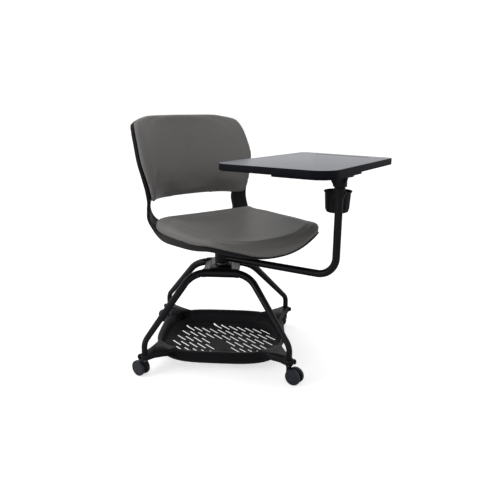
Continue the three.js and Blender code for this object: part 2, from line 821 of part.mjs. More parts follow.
function casterStem({ across, along }) {
  const flangeTop = footHeight - 2 * fitGap - plugFlangeThickness;
  const flangeBottom = casterBossTop + fitGap;
  const profile = [
    [0, stemBottom],
    [stemPinRadius, stemBottom],
    [stemPinRadius, flangeBottom],
    [stemFlangeRadius, flangeBottom],
    [stemFlangeRadius, flangeTop],
    [stemRadius, flangeTop],
    [stemRadius, stemTop],
    [0, stemTop],
  ];
  return revolved(profile, smallSides).translate(across * legHalfSpan, along * legHalfDepth, 0);
}

// The body between the wheels, drawn with the stem at the origin and the wheels trailing towards +X.
function casterHood() {
  const inner = wheelRadius + hoodGap;
  const hubRadius = 3 * axleRadius;
  const web = new THREE.Shape();
  web.absarc(0, 0, hubRadius, Math.PI, 2 * Math.PI, false);
  web.absarc(0, 0, casterBodyRadius, radians(hoodStartDegrees), radians(hoodEndDegrees), false);
  web.closePath();
  const extrusion = { depth: casterWebThickness, bevelEnabled: false, curveSegments: hoodSteps };
  const blade = new THREE.ExtrudeGeometry(web, extrusion)
    .rotateX(Math.PI / 2)
    .translate(casterTrail, casterWebThickness / 2, wheelRadius);
  const bossBottom = stemBottom - cutOverrun;
  const boss = rod(casterBossRadius, wheelRadius + casterBossRadius, casterBossTop);
  const neck = new THREE.BoxGeometry(casterNeckLength, casterWebThickness, casterBossTop - bossBottom);
  neck.translate(0, 0, (casterBossTop + bossBottom) / 2);
  const wheelSpace = [-1, 1].map((side) => {
    const space = rod(inner, 0, wheelWidth + 2 * casterSideGap, wheelSides);
    space.translate(0, 0, casterWebThickness / 2);
    return space.rotateX((side * Math.PI) / 2).translate(casterTrail, 0, wheelRadius);
  });
  const body = cut(joined(blade, boss, neck), ...wheelSpace);
  const stemHole = rod(stemPinRadius + fitGap, stemBottom - fitGap, casterBossTop + cutOverrun);
  const axleHole = rod(axleRadius + fitGap, -casterWebThickness, casterWebThickness)
    .rotateX(Math.PI / 2)
    .translate(casterTrail, 0, wheelRadius);
  return cut(body, stemHole, axleHole);
}

function casterAxle() {
  const reach = casterWebThickness / 2 + casterSideGap + wheelWidth - axleEndCover - fitGap;
  return rod(axleRadius, -reach, reach).rotateX(Math.PI / 2).translate(casterTrail, 0, wheelRadius);
}

// A wheel with a dished face; side is 1 or -1 along the axle.
function casterWheel(side) {
  const bore = axleRadius + fitGap;
  const boreEnd = wheelWidth - axleEndCover;
  const profile = [
    [bore, 0],
    [wheelRadius, 0],
    [wheelRadius, wheelWidth - wheelEdgeRadius],
    [wheelRadius - wheelEdgeRadius, wheelWidth],
    [wheelRadius - 2 * wheelEdgeRadius, wheelWidth - wheelDish],
    [wheelHubRadius, wheelWidth - wheelDish],
    [0, wheelWidth - wheelDish / 2],
    [0, boreEnd],
    [bore, boreEnd],
    [bore, 0],
  ];
  return revolved(profile, wheelSides)
    .translate(0, 0, casterWebThickness / 2 + casterSideGap)
    .rotateX((-side * Math.PI) / 2)
    .translate(casterTrail, 0, wheelRadius);
}

// Seat

const aboveSeatPlate = (share) => seatPlateTop + share * backHeight;
const stationCurves = [
  new THREE.CatmullRomCurve3(
    shellStationShares.map(([reach, height, half]) =>
      new THREE.Vector3(reach * seatFront, aboveSeatPlate(height), half * shellHalfWidth),
    ),
  ),
  new THREE.CatmullRomCurve3(
    shellStationShares.map(([, , , reach, height]) =>
      new THREE.Vector3(reach * seatFront, aboveSeatPlate(height), 0),
    ),
  ),
];

// A point on the shell's upper surface: share runs from the front lip to the top edge, side from -1 to 1.
function shellPoint(share, side) {
  const [middle, rim] = stationCurves.map((curve) => curve.getPoint(share));
  const fromStrap = Math.min(Math.abs(share - strapMiddleShare) / strapSpanShare, 1);
  const power = shellSidePower + strapExtraPower * Math.cos((fromStrap * Math.PI) / 2) ** 2;
  const curl = Math.abs(side) ** power;
  const reach = THREE.MathUtils.lerp(middle.x, rim.x, curl);
  const height = THREE.MathUtils.lerp(middle.y, rim.y, curl);
  return new THREE.Vector3(side * middle.z, -reach, height);
}

const probeShare = 0.004;

function shellNormal(share, side) {
  const low = THREE.MathUtils.clamp(share - probeShare, 0, 1);
  const high = THREE.MathUtils.clamp(share + probeShare, 0, 1);
  const alongShell = shellPoint(high, side).sub(shellPoint(low, side));
  const acrossShell = shellPoint(share, side + probeShare).sub(shellPoint(share, side - probeShare));
  return acrossShell.cross(alongShell).normalize();
}

function offShell(share, side, offset) {
  return shellPoint(share, side).addScaledVector(shellNormal(share, side), offset);
}

// A grid over part of the shell, closer set towards its sides. offsetAt gives the height off the shell, and
// sagShare takes the start further along the shell at the sides.
function gridOverShell(startShare, endShare, rows, columns, halfSideShare, offsetAt, sagShare = 0) {
  const grid = [];
  for (let row = 0; row <= rows; row++) {
    const end = (2 * row) / rows - 1;
    const line = [];
    for (let column = 0; column <= columns; column++) {
      const side = Math.sin((Math.PI / 2) * ((2 * column) / columns - 1));
      const start = startShare - sagShare * side ** 2;
      const share = THREE.MathUtils.lerp(start, endShare, row / rows);
      line.push(offShell(share, side * halfSideShare, offsetAt(end, side, share)));
    }
    grid.push(line);
  }
  return grid;
}

function windowCutter() {
  const windowBottom = seatPlateTop + windowBottomRise;
  const windowTop = seatPlateTop + windowTopRise;
  const shape = new THREE.Shape();
  const topEnd = windowTop - windowTopSag;
  const sideStart = topEnd - windowSideHeight;
  const sideBend = (sideStart + 3 * windowBottom) / 4;
  shape.moveTo(windowHalfWidth, topEnd);
  shape.quadraticCurveTo(0, windowTop + windowTopSag, -windowHalfWidth, topEnd);
  for (const side of [-1, 1]) {
    const halfWidth = side * windowHalfWidth;
    const low = new THREE.Vector2(halfWidth * windowBottomFullness, windowBottom);
    const high = new THREE.Vector2(halfWidth, sideBend);
    if (side < 0) {
      shape.lineTo(halfWidth, sideStart);
      shape.bezierCurveTo(high.x, high.y, low.x, low.y, 0, windowBottom);
    } else {
      shape.bezierCurveTo(low.x, low.y, high.x, high.y, halfWidth, sideStart);
    }
  }
  return new THREE.ExtrudeGeometry(shape, { depth: seatFront, bevelEnabled: false, curveSegments: 7 })
    .rotateX(Math.PI / 2)
    .translate(0, seatFront + windowTopSag, 0);
}

const seatBoltPlaces = [seatBoltRear, seatBoltFront].flatMap((forward) =>
  [-1, 1].map((side) => new THREE.Vector2(side * seatBoltHalfSpan, -forward)),
);

function rimDepthAt(share) {
  const skirt = THREE.MathUtils.smoothstep(share, ...skirtStartShares) * shellSeatRim;
  return THREE.MathUtils.lerp(skirt, shellBackRim, THREE.MathUtils.smoothstep(share, ...skirtEndShares));
}

function seatShell() {
  const grid = (offsetAt) => gridOverShell(shellFrontShare, 1, shellRows, shellColumns, 1, offsetAt);
  const upper = grid(() => 0);
  const under = grid((end, side, share) => {
    const nearRim = Math.abs(side) ** crownSidePower;
    const nearTop = Math.max(end, 0) ** (4 * crownEndPower);
    return -shellWall - rimDepthAt(share) * Math.max(nearRim, nearTop);
  });
  const bosses = seatBoltPlaces.map(({ x, y }) => {
    const low = seatPlateTop + fitGap;
    return rod(shellBossRadius, low, low + seatCushionThickness / 2).translate(x, y, 0);
  });
  const above = panelBetween(grid(() => seatCushionThickness), grid(() => -shellWall / 2));
  const holes = seatBoltPlaces.map(({ x, y }) =>
    rod(seatBoltRadius + fitGap, seatPlateTop - cutOverrun, seatPlateTop + seatBoltReach / 2).translate(x, y, 0),
  );
  const feet = cut(joined(...bosses), above);
  const body = joined(panelBetween(upper, under), feet);
  return cut(body, windowCutter(), ...holes);
}

// A padded skin over part of the shell: full in the middle, rounded over at its edges and drawn in below.
function cushion({ startShare, endShare, rows, thickness, gap, overhangShare, sagShare }) {
  const crown = (end, side) => {
    const acrossFade = Math.max(1 - Math.abs(side) ** crownSidePower, 0) ** crownFullness;
    const alongFade = Math.max(1 - Math.abs(end) ** crownEndPower, 0) ** crownFullness;
    return thickness * THREE.MathUtils.lerp(cushionEdgeShare, 1, acrossFade * alongFade);
  };
  const tuck = ((endShare - startShare) * cushionTuckShare) / 2;
  const upper = gridOverShell(startShare, endShare, rows, cushionColumns, overhangShare, crown, sagShare);
  const under = gridOverShell(
    startShare + tuck,
    endShare - tuck,
    rows,
    cushionColumns,
    overhangShare - cushionTuckShare,
    () => gap,
    sagShare,
  );
  return panelBetween(upper, under);
}

function seatPlate() {
  const outline = roundedRectangle(
    -seatPlateHalfWidth,
    seatPlateHalfWidth,
    -seatPlateFront,
    -seatPlateRear,
    seatPlateCorner,
  );
  const sheet = plate(outline, seatPlateBottom, seatPlateThickness);
  const hubHole = rod(clipRadius + 2 * fitGap, seatPlateBottom - cutOverrun, seatPlateTop + cutOverrun);
  const boltHoles = seatBoltPlaces.map(({ x, y }) =>
    rod(seatBoltRadius + fitGap, seatPlateBottom - cutOverrun, seatPlateTop + cutOverrun).translate(x, y, 0),
  );
  return cut(sheet, hubHole, ...boltHoles);
}

function seatHub() {
  const top = seatPlateBottom - fitGap;
  const bore = bushOuter + fitGap;
  const recess = clipRadius + 2 * fitGap;
  const recessBottom = clipBottom - fitGap;
  const low = seatHubBottom + bushFlangeThickness + fitGap;
  const counterbore = bushOuter + bushFlange + fitGap;
  const profile = [
    [counterbore, seatHubBottom],
    [seatHubRadius, seatHubBottom],
    [seatHubRadius, top],
    [recess, top],
    [recess, recessBottom],
    [bore, recessBottom],
    [bore, low],
    [counterbore, low],
    [counterbore, seatHubBottom],
  ];
  return revolved(profile, spindleSides);
}

function seatBolt({ x, y }) {
  const headTop = seatPlateBottom - fitGap;
  const profile = [
    [0, headTop - seatBoltHeadHeight],
    [seatBoltHeadRadius, headTop - seatBoltHeadHeight],
    [seatBoltHeadRadius, headTop],
    [seatBoltRadius, headTop],
    [seatBoltRadius, seatPlateTop + seatBoltReach / 2 - fitGap],
    [0, seatPlateTop + seatBoltReach / 2 - fitGap],
  ];
  return revolved(profile, smallSides).translate(x, y, 0);
}

// Swing arm. It is drawn pointing to -Y, like the seat.

const armHeight = (armCollarBottom + armCollarTop) / 2;

function armCollar() {
  const bore = bushOuter + fitGap;
  const counterbore = bushOuter + bushFlange + fitGap;
  const step = bushFlangeThickness + fitGap;
  const profile = [
    [counterbore, armCollarBottom],
    [armCollarRadius, armCollarBottom],
    [armCollarRadius, armCollarTop],
    [counterbore, armCollarTop],
    [counterbore, armCollarTop - step],
    [bore, armCollarTop - step],
    [bore, armCollarBottom + step],
    [counterbore, armCollarBottom + step],
    [counterbore, armCollarBottom],
  ];
  return revolved(profile, spindleSides);
}

function armTube() {
  const path = new BentPath(
    [
      new THREE.Vector3(0, -armCollarRadius / 2, armHeight),
      new THREE.Vector3(0, -armReach, armHeight),
      new THREE.Vector3(0, -armReach, postTop),
    ],
    [armBendRadius],
    [armBendSteps],
  );
  const cope = rod(armCollarRadius + fitGap, armCollarBottom - cutOverrun, armCollarTop + cutOverrun, spindleSides);
  return cut(tubeAlong(path, armTubeRadius, armTubeSides), cope);
}

const cupCentre = new THREE.Vector2(cupOffset, -(armReach - cupBackset));
const cupBottom = postTop - cupDrop;
const cupTop = cupBottom + cupHeight;
const clampBottom = postTop - clampDrop;

function cupHolder() {
  const outer = [
    [0, cupBottom],
    [cupBottomRadius - cupCorner, cupBottom],
    [cupBottomRadius - cupCorner / 4, cupBottom + cupCorner / 3],
    [cupBottomRadius, cupBottom + cupCorner],
    [cupTopRadius, cupTop - cupLipHeight],
    [cupTopRadius + cupLip, cupTop - cupWall],
    [cupTopRadius + cupLip, cupTop],
    [cupTopRadius + cupLip - cupWall, cupTop],
    [cupTopRadius - cupWall, cupTop - cupLipHeight],
    [cupBottomRadius - cupWall, cupBottom + cupCorner],
    [cupBottomRadius - cupCorner, cupBottom + cupWall],
    [0, cupBottom + cupWall],
  ];
  const body = revolved(outer, 2 * cupRibCount);
  const ribs = Array.from({ length: cupRibCount }, (_, index) => {
    const lean = Math.atan2(cupTopRadius - cupBottomRadius, cupHeight - cupCorner - cupLipHeight);
    const rib = new THREE.BoxGeometry(2 * cupRibDepth, cupRibWidth, cupHeight - cupCorner - cupLipHeight);
    rib.rotateY(lean).translate((cupTopRadius + cupBottomRadius) / 2, 0, cupBottom + cupHeight / 2);
    return rib.rotateZ((2 * Math.PI * index) / cupRibCount);
  });
  const clearance = rod(clampRadius, cupBottom - cutOverrun, cupTop + cutOverrun, spindleSides);
  clearance.translate(-cupCentre.x, -armReach - cupCentre.y, 0);
  const whole = joined(body, ...ribs);
  return cut(whole, clearance).translate(cupCentre.x, cupCentre.y, 0);
}

// The clamp grips the post and carries the cup on a curved saddle.
function cupClamp() {
  const top = clampBottom + clampHeight;
  const grip = rod(clampRadius - fitGap, clampBottom, top, spindleSides).translate(0, -armReach, 0);
  const hole = rod(armTubeRadius + fitGap, clampBottom - cutOverrun, top + cutOverrun, armTubeSides);
  hole.translate(0, -armReach, 0);
  return cut(grip, hole);
}

function clampScrewPlace(geometry) {
  return geometry.rotateX(Math.PI / 2).translate(0, -armReach, clampBottom + clampHeight / 2);
}

function clampScrew() {
  const head = clampRadius + fitGap;
  const profile = [
    [0, head],
    [clampScrewHeadRadius, head],
    [clampScrewHeadRadius, head + clampScrewHeadHeight / 2],
    [clampScrewHeadRadius / 2, head + clampScrewHeadHeight],
    [0, head + clampScrewHeadHeight],
  ];
  return clampScrewPlace(revolved(profile, smallSides));
}

// Tablet

const tabletTop = postTop + tabletRise;
const tabletUnderside = tabletTop - tabletThickness;
const bracketBottom = postTop - bracketSleeveDrop;
const underplateTop = tabletUnderside - fitGap;
const underplateBottom = underplateTop - underplateThickness;
const bracketTop = underplateBottom - fitGap;

// The tablet's corners: near rear, near front, far front and far rear, each with the radius that rounds it.
const tabletCorners = [
  { x: -tabletSideReach, y: tabletNearLength - armReach - tabletOverhang, radius: tabletNearRearRadius },
  { x: -tabletSideReach - tabletNearSkew, y: -armReach - tabletOverhang, radius: tabletNearFrontRadius },
  {
    x: tabletWidth - tabletSideReach - tabletNearSkew,
    y: -armReach - tabletOverhang - tabletFrontSkew,
    radius: tabletFarFrontRadius,
  },
  {
    x: tabletWidth - tabletSideReach - tabletNearSkew - tabletFarSkew,
    y: tabletFarLength - armReach - tabletOverhang - tabletFrontSkew,
    radius: tabletFarRearRadius,
  },
];

// A closed outline through corners, each rounded by its own radius.
function roundedOutline(corners) {
  const shape = new THREE.Shape();
  corners.forEach((corner, index) => {
    const here = new THREE.Vector2(corner.x, corner.y);
    const [before, after] = [corners.at(index - 1), corners[(index + 1) % corners.length]];
    const back = new THREE.Vector2(before.x, before.y).sub(here).normalize();
    const on = new THREE.Vector2(after.x, after.y).sub(here).normalize();
    const halfAngle = Math.acos(back.dot(on)) / 2;
    const setback = corner.radius / Math.tan(halfAngle);
    const centre = back.clone().add(on).normalize().multiplyScalar(corner.radius / Math.sin(halfAngle)).add(here);
    const start = here.clone().addScaledVector(back, setback).sub(centre);
    const end = here.clone().addScaledVector(on, setback).sub(centre);
    shape.absarc(centre.x, centre.y, corner.radius, start.angle(), end.angle(), false);
  });
  return shape;
}

function tabletBoard() {
  const outline = roundedOutline(tabletCorners);
  const board = plate(outline, tabletUnderside, tabletThickness, tabletEdgeBevel);
  const far = tabletCorners[2];
  const grooveEnd = penGrooveWidth / 2;
  const grooveShape = roundedRectangle(-grooveEnd, grooveEnd, 0, penGrooveLength, grooveEnd * penGrooveEndShare);
  const groove = plate(grooveShape, tabletTop - penGrooveDepth, penGrooveDepth + cutOverrun);
  groove.rotateZ(Math.atan2(tabletFarSkew, tabletFarLength));
  groove.translate(far.x - penGrooveInset, far.y + (tabletFarLength - penGrooveLength) / 2, 0);
  return cut(board, groove);
}

const bracketScrewPlaces = Array.from({ length: bracketScrewCount }, (_, index) => {
  const angle = (2 * Math.PI * (index + 1 / 2)) / bracketScrewCount;
  return new THREE.Vector2(bracketScrewCircle * Math.cos(angle), bracketScrewCircle * Math.sin(angle) - armReach);
});

// A thinner plate under the near front corner of the board, which takes the bracket's screws.
function tabletUnderplate() {
  const [, near] = tabletCorners;
  const edge = near.x + underplateInset;
  const front = near.y + underplateInset;
  const lean = (tabletNearSkew * underplateLength) / tabletNearLength;
  const rise = (tabletFrontSkew * underplateWidth) / tabletWidth;
  const outline = roundedOutline([
    { x: edge + lean, y: front + underplateLength, radius: underplateCorner },
    { x: edge, y: front, radius: tabletNearFrontRadius - underplateInset },
    { x: edge + underplateWidth, y: front - rise, radius: underplateCorner },
    { x: edge + underplateWidth, y: front + underplateLength - rise, radius: underplateCorner },
  ]);
  const sheet = plate(outline, underplateBottom, underplateThickness);
  const holes = bracketScrewPlaces.map(({ x, y }) =>
    rod(bracketScrewRadius + fitGap, underplateBottom - cutOverrun, underplateTop - underplateSkin)
      .translate(x, y, 0),
  );
  return cut(sheet, ...holes);
}

const postBushInner = armTubeRadius + fitGap;
const postBushOuter = postBushInner + bushWall;

// The bracket turns on the post: a sleeve with gussets under a round flange.
function tabletBracket() {
  const flangeBottom = bracketTop - bracketFlangeThickness;
  const bore = postBushOuter + fitGap;
  const ceiling = postTop + 2 * fitGap + bushFlangeThickness;
  const flange = rod(bracketFlangeRadius, flangeBottom, bracketTop, spindleSides);
  const sleeve = rod(bracketSleeveRadius, bracketBottom, bracketTop - fitGap, spindleSides);
  const gussets = Array.from({ length: bracketRibCount }, (_, index) => {
    const shape = new THREE.Shape();
    shape.moveTo(bracketSleeveRadius / 2, bracketBottom + bracketFlangeThickness);
    shape.lineTo(bracketSleeveRadius, bracketBottom + bracketFlangeThickness);
    shape.lineTo(bracketFlangeRadius - bracketRibThickness, flangeBottom);
    shape.lineTo(bracketFlangeRadius - bracketRibThickness, bracketTop - fitGap);
    shape.lineTo(bracketSleeveRadius / 2, bracketTop - fitGap);
    shape.closePath();
    return new THREE.ExtrudeGeometry(shape, { depth: bracketRibThickness, bevelEnabled: false })
      .translate(0, 0, -bracketRibThickness / 2)
      .rotateX(Math.PI / 2)
      .rotateZ((2 * Math.PI * index) / bracketRibCount);
  });
  const body = joined(flange, sleeve, ...gussets);
  const hole = rod(bore, bracketBottom - cutOverrun, ceiling, spindleSides);
  const mouthTop = bracketBottom + bushFlangeThickness + fitGap;
  const mouth = rod(bore + bushFlange, bracketBottom - cutOverrun, mouthTop, spindleSides);
  const placed = cut(body, hole, mouth).translate(0, -armReach, 0);
  const screwHoles = bracketScrewPlaces.map(({ x, y }) =>
    rod(bracketScrewRadius + fitGap, flangeBottom - cutOverrun, bracketTop + cutOverrun).translate(x, y, 0),
  );
  return cut(placed, ...screwHoles);
}

function postBush() {
  const flangeBottom = bracketBottom;
  const flangeTop = bracketBottom + bushFlangeThickness;
  const profile = [
    [postBushInner, flangeBottom],
    [postBushOuter + bushFlange, flangeBottom],
    [postBushOuter + bushFlange, flangeTop],
    [postBushOuter, flangeTop],
    [postBushOuter, postTop],
    [postBushInner, postTop],
    [postBushInner, flangeBottom],
  ];
  return revolved(profile, spindleSides).translate(0, -armReach, 0);
}

function bracketScrew({ x, y }) {
  const headTop = bracketTop - bracketFlangeThickness - fitGap;
  const tip = underplateTop - underplateSkin - fitGap;
  const profile = [
    [0, headTop - bracketScrewHeadHeight],
    [bracketScrewHeadRadius, headTop - bracketScrewHeadHeight],
    [bracketScrewHeadRadius, headTop],
    [bracketScrewRadius, headTop],
    [bracketScrewRadius, tip],
    [0, tip],
  ];
  return revolved(profile, smallSides / 2).translate(x, y, 0);
}

// Assembly

function add(group, name, geometry, material) {
  const mesh = new THREE.Mesh(geometry, material);
  mesh.name = name;
  group.add(mesh);
  return mesh;
}

const chair = new THREE.Group();
const { coatedSteel, plainSteel, blackPlastic, wheelPlastic, leatherette, tabletLaminate } = materials;

add(chair, "front_arch_tube", archTube(-1), coatedSteel);
add(chair, "rear_arch_tube", archTube(1), coatedSteel);
add(chair, "hub_casting", hubCasting(), coatedSteel);
add(chair, "spindle", spindle(), plainSteel);
add(chair, "spindle_clip", retainingClip(), plainSteel);
const washerOuter = armCollarRadius - bushWall;
const lowerWasherBottom = hubTop + fitGap;
const upperWasherBottom = armCollarTop + fitGap;
for (const [name, bottom] of [["hub_washer", lowerWasherBottom], ["seat_washer", upperWasherBottom]]) {
  const washer = ring(washerOuter, spindleRadius + fitGap, bottom, bottom + washerThickness);
  add(chair, name, washer, plainSteel);
}
add(chair, "bag_tray", bagTray(), blackPlastic);

for (const [corner, sides] of Object.entries(cornerSides)) {
  add(chair, "tray_knob_" + corner, trayKnob(sides), blackPlastic);
  add(chair, "leg_plug_" + corner, legPlug(sides), blackPlastic);
  add(chair, "caster_stem_" + corner, casterStem(sides), plainSteel);
  const caster = new THREE.Group();
  caster.position.set(sides.across * legHalfSpan, sides.along * legHalfDepth, 0);
  caster.rotation.z = radians(casterTrailDegrees[corner]);
  add(caster, "caster_hood_" + corner, casterHood(), blackPlastic);
  add(caster, "caster_axle_" + corner, casterAxle(), plainSteel);
  add(caster, "wheel_left_" + corner, casterWheel(1), wheelPlastic);
  add(caster, "wheel_right_" + corner, casterWheel(-1), wheelPlastic);
  chair.add(caster);
}

const seat = new THREE.Group();
seat.rotation.z = radians(seatTurnDegrees);
add(seat, "seat_hub", seatHub(), coatedSteel);
add(seat, "seat_bush", spindleBush(seatHubBottom, clipBottom - 2 * fitGap, false), blackPlastic);
add(seat, "seat_plate", seatPlate(), coatedSteel);
seatBoltPlaces.forEach((place, index) => add(seat, "seat_bolt_" + (index + 1), seatBolt(place), plainSteel));
add(seat, "seat_shell", seatShell(), blackPlastic);
const seatCushion = cushion({
  startShare: seatCushionStartShare,
  endShare: seatCushionEndShare,
  rows: seatCushionRows,
  thickness: seatCushionThickness,
  gap: seatCushionGap,
  overhangShare: seatCushionOverhangShare,
  sagShare: 0,
});
add(seat, "seat_cushion", seatCushion, leatherette);
const backCushion = cushion({
  startShare: backCushionStartShare,
  endShare: backCushionEndShare,
  rows: backCushionRows,
  thickness: backCushionThickness,
  gap: backCushionGap,
  overhangShare: backCushionOverhangShare,
  sagShare: backCushionSagShare,
});
add(seat, "back_cushion", backCushion, leatherette);
chair.add(seat);

const arm = new THREE.Group();
arm.rotation.z = radians(armTurnDegrees);
add(arm, "arm_collar", armCollar(), coatedSteel);
add(arm, "arm_bush_lower", spindleBush(armCollarBottom, armHeight - fitGap, false), blackPlastic);
add(arm, "arm_bush_upper", spindleBush(armHeight + fitGap, armCollarTop, true), blackPlastic);
add(arm, "arm_tube", armTube(), coatedSteel);
add(arm, "cup_holder", cupHolder(), blackPlastic);
add(arm, "cup_clamp", cupClamp(), blackPlastic);
add(arm, "cup_clamp_screw", clampScrew(), plainSteel);
add(arm, "tablet_board", tabletBoard(), tabletLaminate);
add(arm, "tablet_underplate", tabletUnderplate(), blackPlastic);
add(arm, "tablet_bracket", tabletBracket(), coatedSteel);
add(arm, "post_bush", postBush(), blackPlastic);
bracketScrewPlaces.forEach((place, index) =>
  add(arm, "bracket_screw_" + (index + 1), bracketScrew(place), plainSteel),
);
chair.add(arm);

// The origin is on the floor, under the middle of the whole chair.
const whole = new THREE.Group();
whole.add(chair);
const box = new THREE.Box3().setFromObject(whole, true);
const middle = box.getCenter(new THREE.Vector3());
chair.position.set(-middle.x, -middle.y, -box.min.z);

export default whole;
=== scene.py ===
"""The looks of a student desk chair with a writing tablet, built around its fixed frame."""

import json
import math

import bmesh
import bpy
from mathutils import Matrix, Vector
from mathutils.geometry import intersect_point_line
from mathutils.kdtree import KDTree


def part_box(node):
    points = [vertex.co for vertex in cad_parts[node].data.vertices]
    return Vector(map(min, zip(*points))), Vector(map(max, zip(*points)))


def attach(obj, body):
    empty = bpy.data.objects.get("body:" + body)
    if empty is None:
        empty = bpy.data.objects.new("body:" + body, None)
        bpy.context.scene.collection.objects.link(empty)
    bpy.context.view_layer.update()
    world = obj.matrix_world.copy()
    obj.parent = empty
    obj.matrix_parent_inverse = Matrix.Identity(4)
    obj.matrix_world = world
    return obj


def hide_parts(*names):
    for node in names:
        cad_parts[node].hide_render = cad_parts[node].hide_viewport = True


bl_info = {
    "name": "Student desk chair",
    "version": (1, 0, 0),
    "blender": (4, 5, 0),
    "location": "3D View > Sidebar > Chair",
    "description": "Builds the looks of a student desk chair around its fixed frame",
    "category": "Object",
}

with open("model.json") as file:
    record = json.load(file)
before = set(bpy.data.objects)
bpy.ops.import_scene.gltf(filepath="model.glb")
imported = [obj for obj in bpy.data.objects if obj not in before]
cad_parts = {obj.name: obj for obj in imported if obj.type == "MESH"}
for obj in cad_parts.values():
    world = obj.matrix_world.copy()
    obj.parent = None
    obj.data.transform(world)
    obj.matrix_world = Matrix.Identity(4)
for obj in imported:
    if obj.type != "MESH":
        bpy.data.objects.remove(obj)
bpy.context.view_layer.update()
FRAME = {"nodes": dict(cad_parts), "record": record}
NODES = FRAME["nodes"]
CORNERS = ("front_left", "front_right", "rear_left", "rear_right")


def middle_of(node):
    """The middle of a CAD node's box."""
    low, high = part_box(node)
    return (low + high) / 2


SPINDLE_FOOT = Vector((middle_of("spindle").x, middle_of("spindle").y, 0))


# Settings


def length(default, description):
    """A length setting in metres."""
    return bpy.props.FloatProperty(
        description=description,
        default=default,
        unit="LENGTH",
        subtype="DISTANCE",
        precision=4,
    )


def turn(degrees, description):
    """An angle setting, given here in degrees."""
    return bpy.props.FloatProperty(
        description=description,
        default=math.radians(degrees),
        subtype="ANGLE",
        unit="ROTATION",
    )


def share(default, description):
    """A setting without a unit."""
    return bpy.props.FloatProperty(description=description, default=default, precision=3)


def count(default, description):
    """A whole number setting."""
    return bpy.props.IntProperty(description=description, default=default, min=1)


def colour(default, description):
    """A colour setting, linear."""
    return bpy.props.FloatVectorProperty(
        description=description, default=default, subtype="COLOR", size=3, min=0, max=1
    )


class ChairBaseSizes(bpy.types.PropertyGroup):
    """Sizes of the arched base and its casters."""

    leg_half_span: length(0.238, "Spindle to a caster stem, across")
    leg_half_depth: length(0.231, "Spindle to a caster stem, front to back")
    arch_half_depth: length(0.069, "Spindle to an arch's top, front to back")
    arch_half_top: length(0.096, "Where a leg's line meets the arch's top line")
    arch_height: length(0.3155, "Centre of the tube at the arch's top")
    knee_height: length(0.122, "Where the leg turns upright")
    foot_height: length(0.066, "Open lower end of a leg")
    tube_top_radius: length(0.013, "Tube radius at the arch's top")
    tube_foot_radius: length(0.0097, "Tube radius at the feet")
    arch_bend_radius: length(0.088, "Radius of the bends at the top")
    knee_bend_radius: length(0.042, "Radius of the bends at the knees")
    wheel_radius: length(0.0265, "Radius of a caster wheel")
    wheel_width: length(0.0115, "Width of one wheel")
    caster_trail: length(0.022, "Stem axis to wheel axle")
    caster_web: length(0.012, "Thickness of the body between the wheels")
    caster_side_gap: length(0.0006, "Wheel to body")
    body_radius: length(0.0235, "Radius of the body between the wheels")
    body_start: turn(38, "Where the body begins, round from behind")
    body_end: turn(158, "Where the body ends")
    axle_hub_radius: length(0.009, "Rounding of the body under the axle")
    neck_length: length(0.014, "Length of the neck under the boss")
    boss_radius: length(0.010, "Round boss that takes the stem")
    boss_top: length(0.0575, "Top of that boss")


class ChairSeatSizes(bpy.types.PropertyGroup):
    """Sizes of the shell and its cushions."""

    turned: turn(38.7, "How far round from the base's front the seat faces")
    front: length(0.318, "Spindle to the front lip")
    plate_top: length(0.412, "Height of the plate that carries the shell")
    back_height: length(0.426, "Seat plate to the top edge")
    half_width: length(0.2335, "Widest half width of the shell")
    wall: length(0.0065, "Thickness of the moulding")
    seat_rim: length(0.013, "Extra depth at the seat's rim")
    back_rim: length(0.005, "Extra depth at the back's rim")
    window_bottom: length(0.464, "Bottom of the opening behind the seat")
    window_top: length(0.551, "Top of that opening")
    window_sag: length(0.006, "How much lower its top edge is at the ends")
    window_half_width: length(0.178, "Half width of the opening")
    seat_pad: length(0.054, "Thickness of the seat cushion")
    back_pad: length(0.026, "Thickness of the back cushion")
    seat_roll: length(0.045, "Depth of the seat cushion's rounded edge")
    back_roll: length(0.017, "Depth of the back cushion's rounded edge")
    pad_gap: length(0.0012, "Cushion to shell")
    voxel: length(0.0055, "Grid that the cushions' covers are remeshed to")
    swell_cap: length(0.004, "The most that a cover may swell")
    pressure: share(1.5, "Foam pressure under the cover")


class ChairArmSizes(bpy.types.PropertyGroup):
    """Sizes of the swing arm, cup holder and tablet."""

    turned: turn(62.4, "How far round from the base's front the arm points")
    reach: length(0.4245, "Spindle to the post")
    tube_radius: length(0.0122, "Radius of the arm's tube")
    bend_radius: length(0.062, "Radius of the arm's bend")
    collar_radius: length(0.0255, "Radius of the collar on the spindle")
    seat_hub_radius: length(0.027, "Radius of the seat's hub over the collar")
    post_top: length(0.662, "Top end of the arm's tube")
    post_clearance: length(0.0175, "Radius cut from the cup round the post")
    clamp_radius: length(0.0172, "Radius of the cup's clamp")
    cup_offset: length(0.048, "Post to the cup's axis, to the side")
    cup_backset: length(0.023, "Post to the cup's axis, towards the seat")
    cup_plain: turn(24, "How far from the clamp the ribs keep, round the cup")
    cup_top_radius: length(0.0405, "Radius of the cup under its lip")
    cup_bottom_radius: length(0.036, "Radius of the cup's foot")
    cup_wall: length(0.0022, "Wall of the cup")
    cup_lip: length(0.004, "How far the lip stands out")
    cup_ribs: count(12, "Upright ribs round the cup")
    tablet_top: length(0.705, "Height of the writing surface")
    tablet_thickness: length(0.022, "Thickness of the board")
    tablet_bevel: length(0.002, "Rounding of the board's edges")
    groove_length: length(0.210, "Length of the pen groove")
    groove_width: length(0.011, "Width of the pen groove")
    groove_inset: length(0.030, "Far edge to the pen groove")
    tablet_ahead: length(0.033, "Post to the line of the near edge")


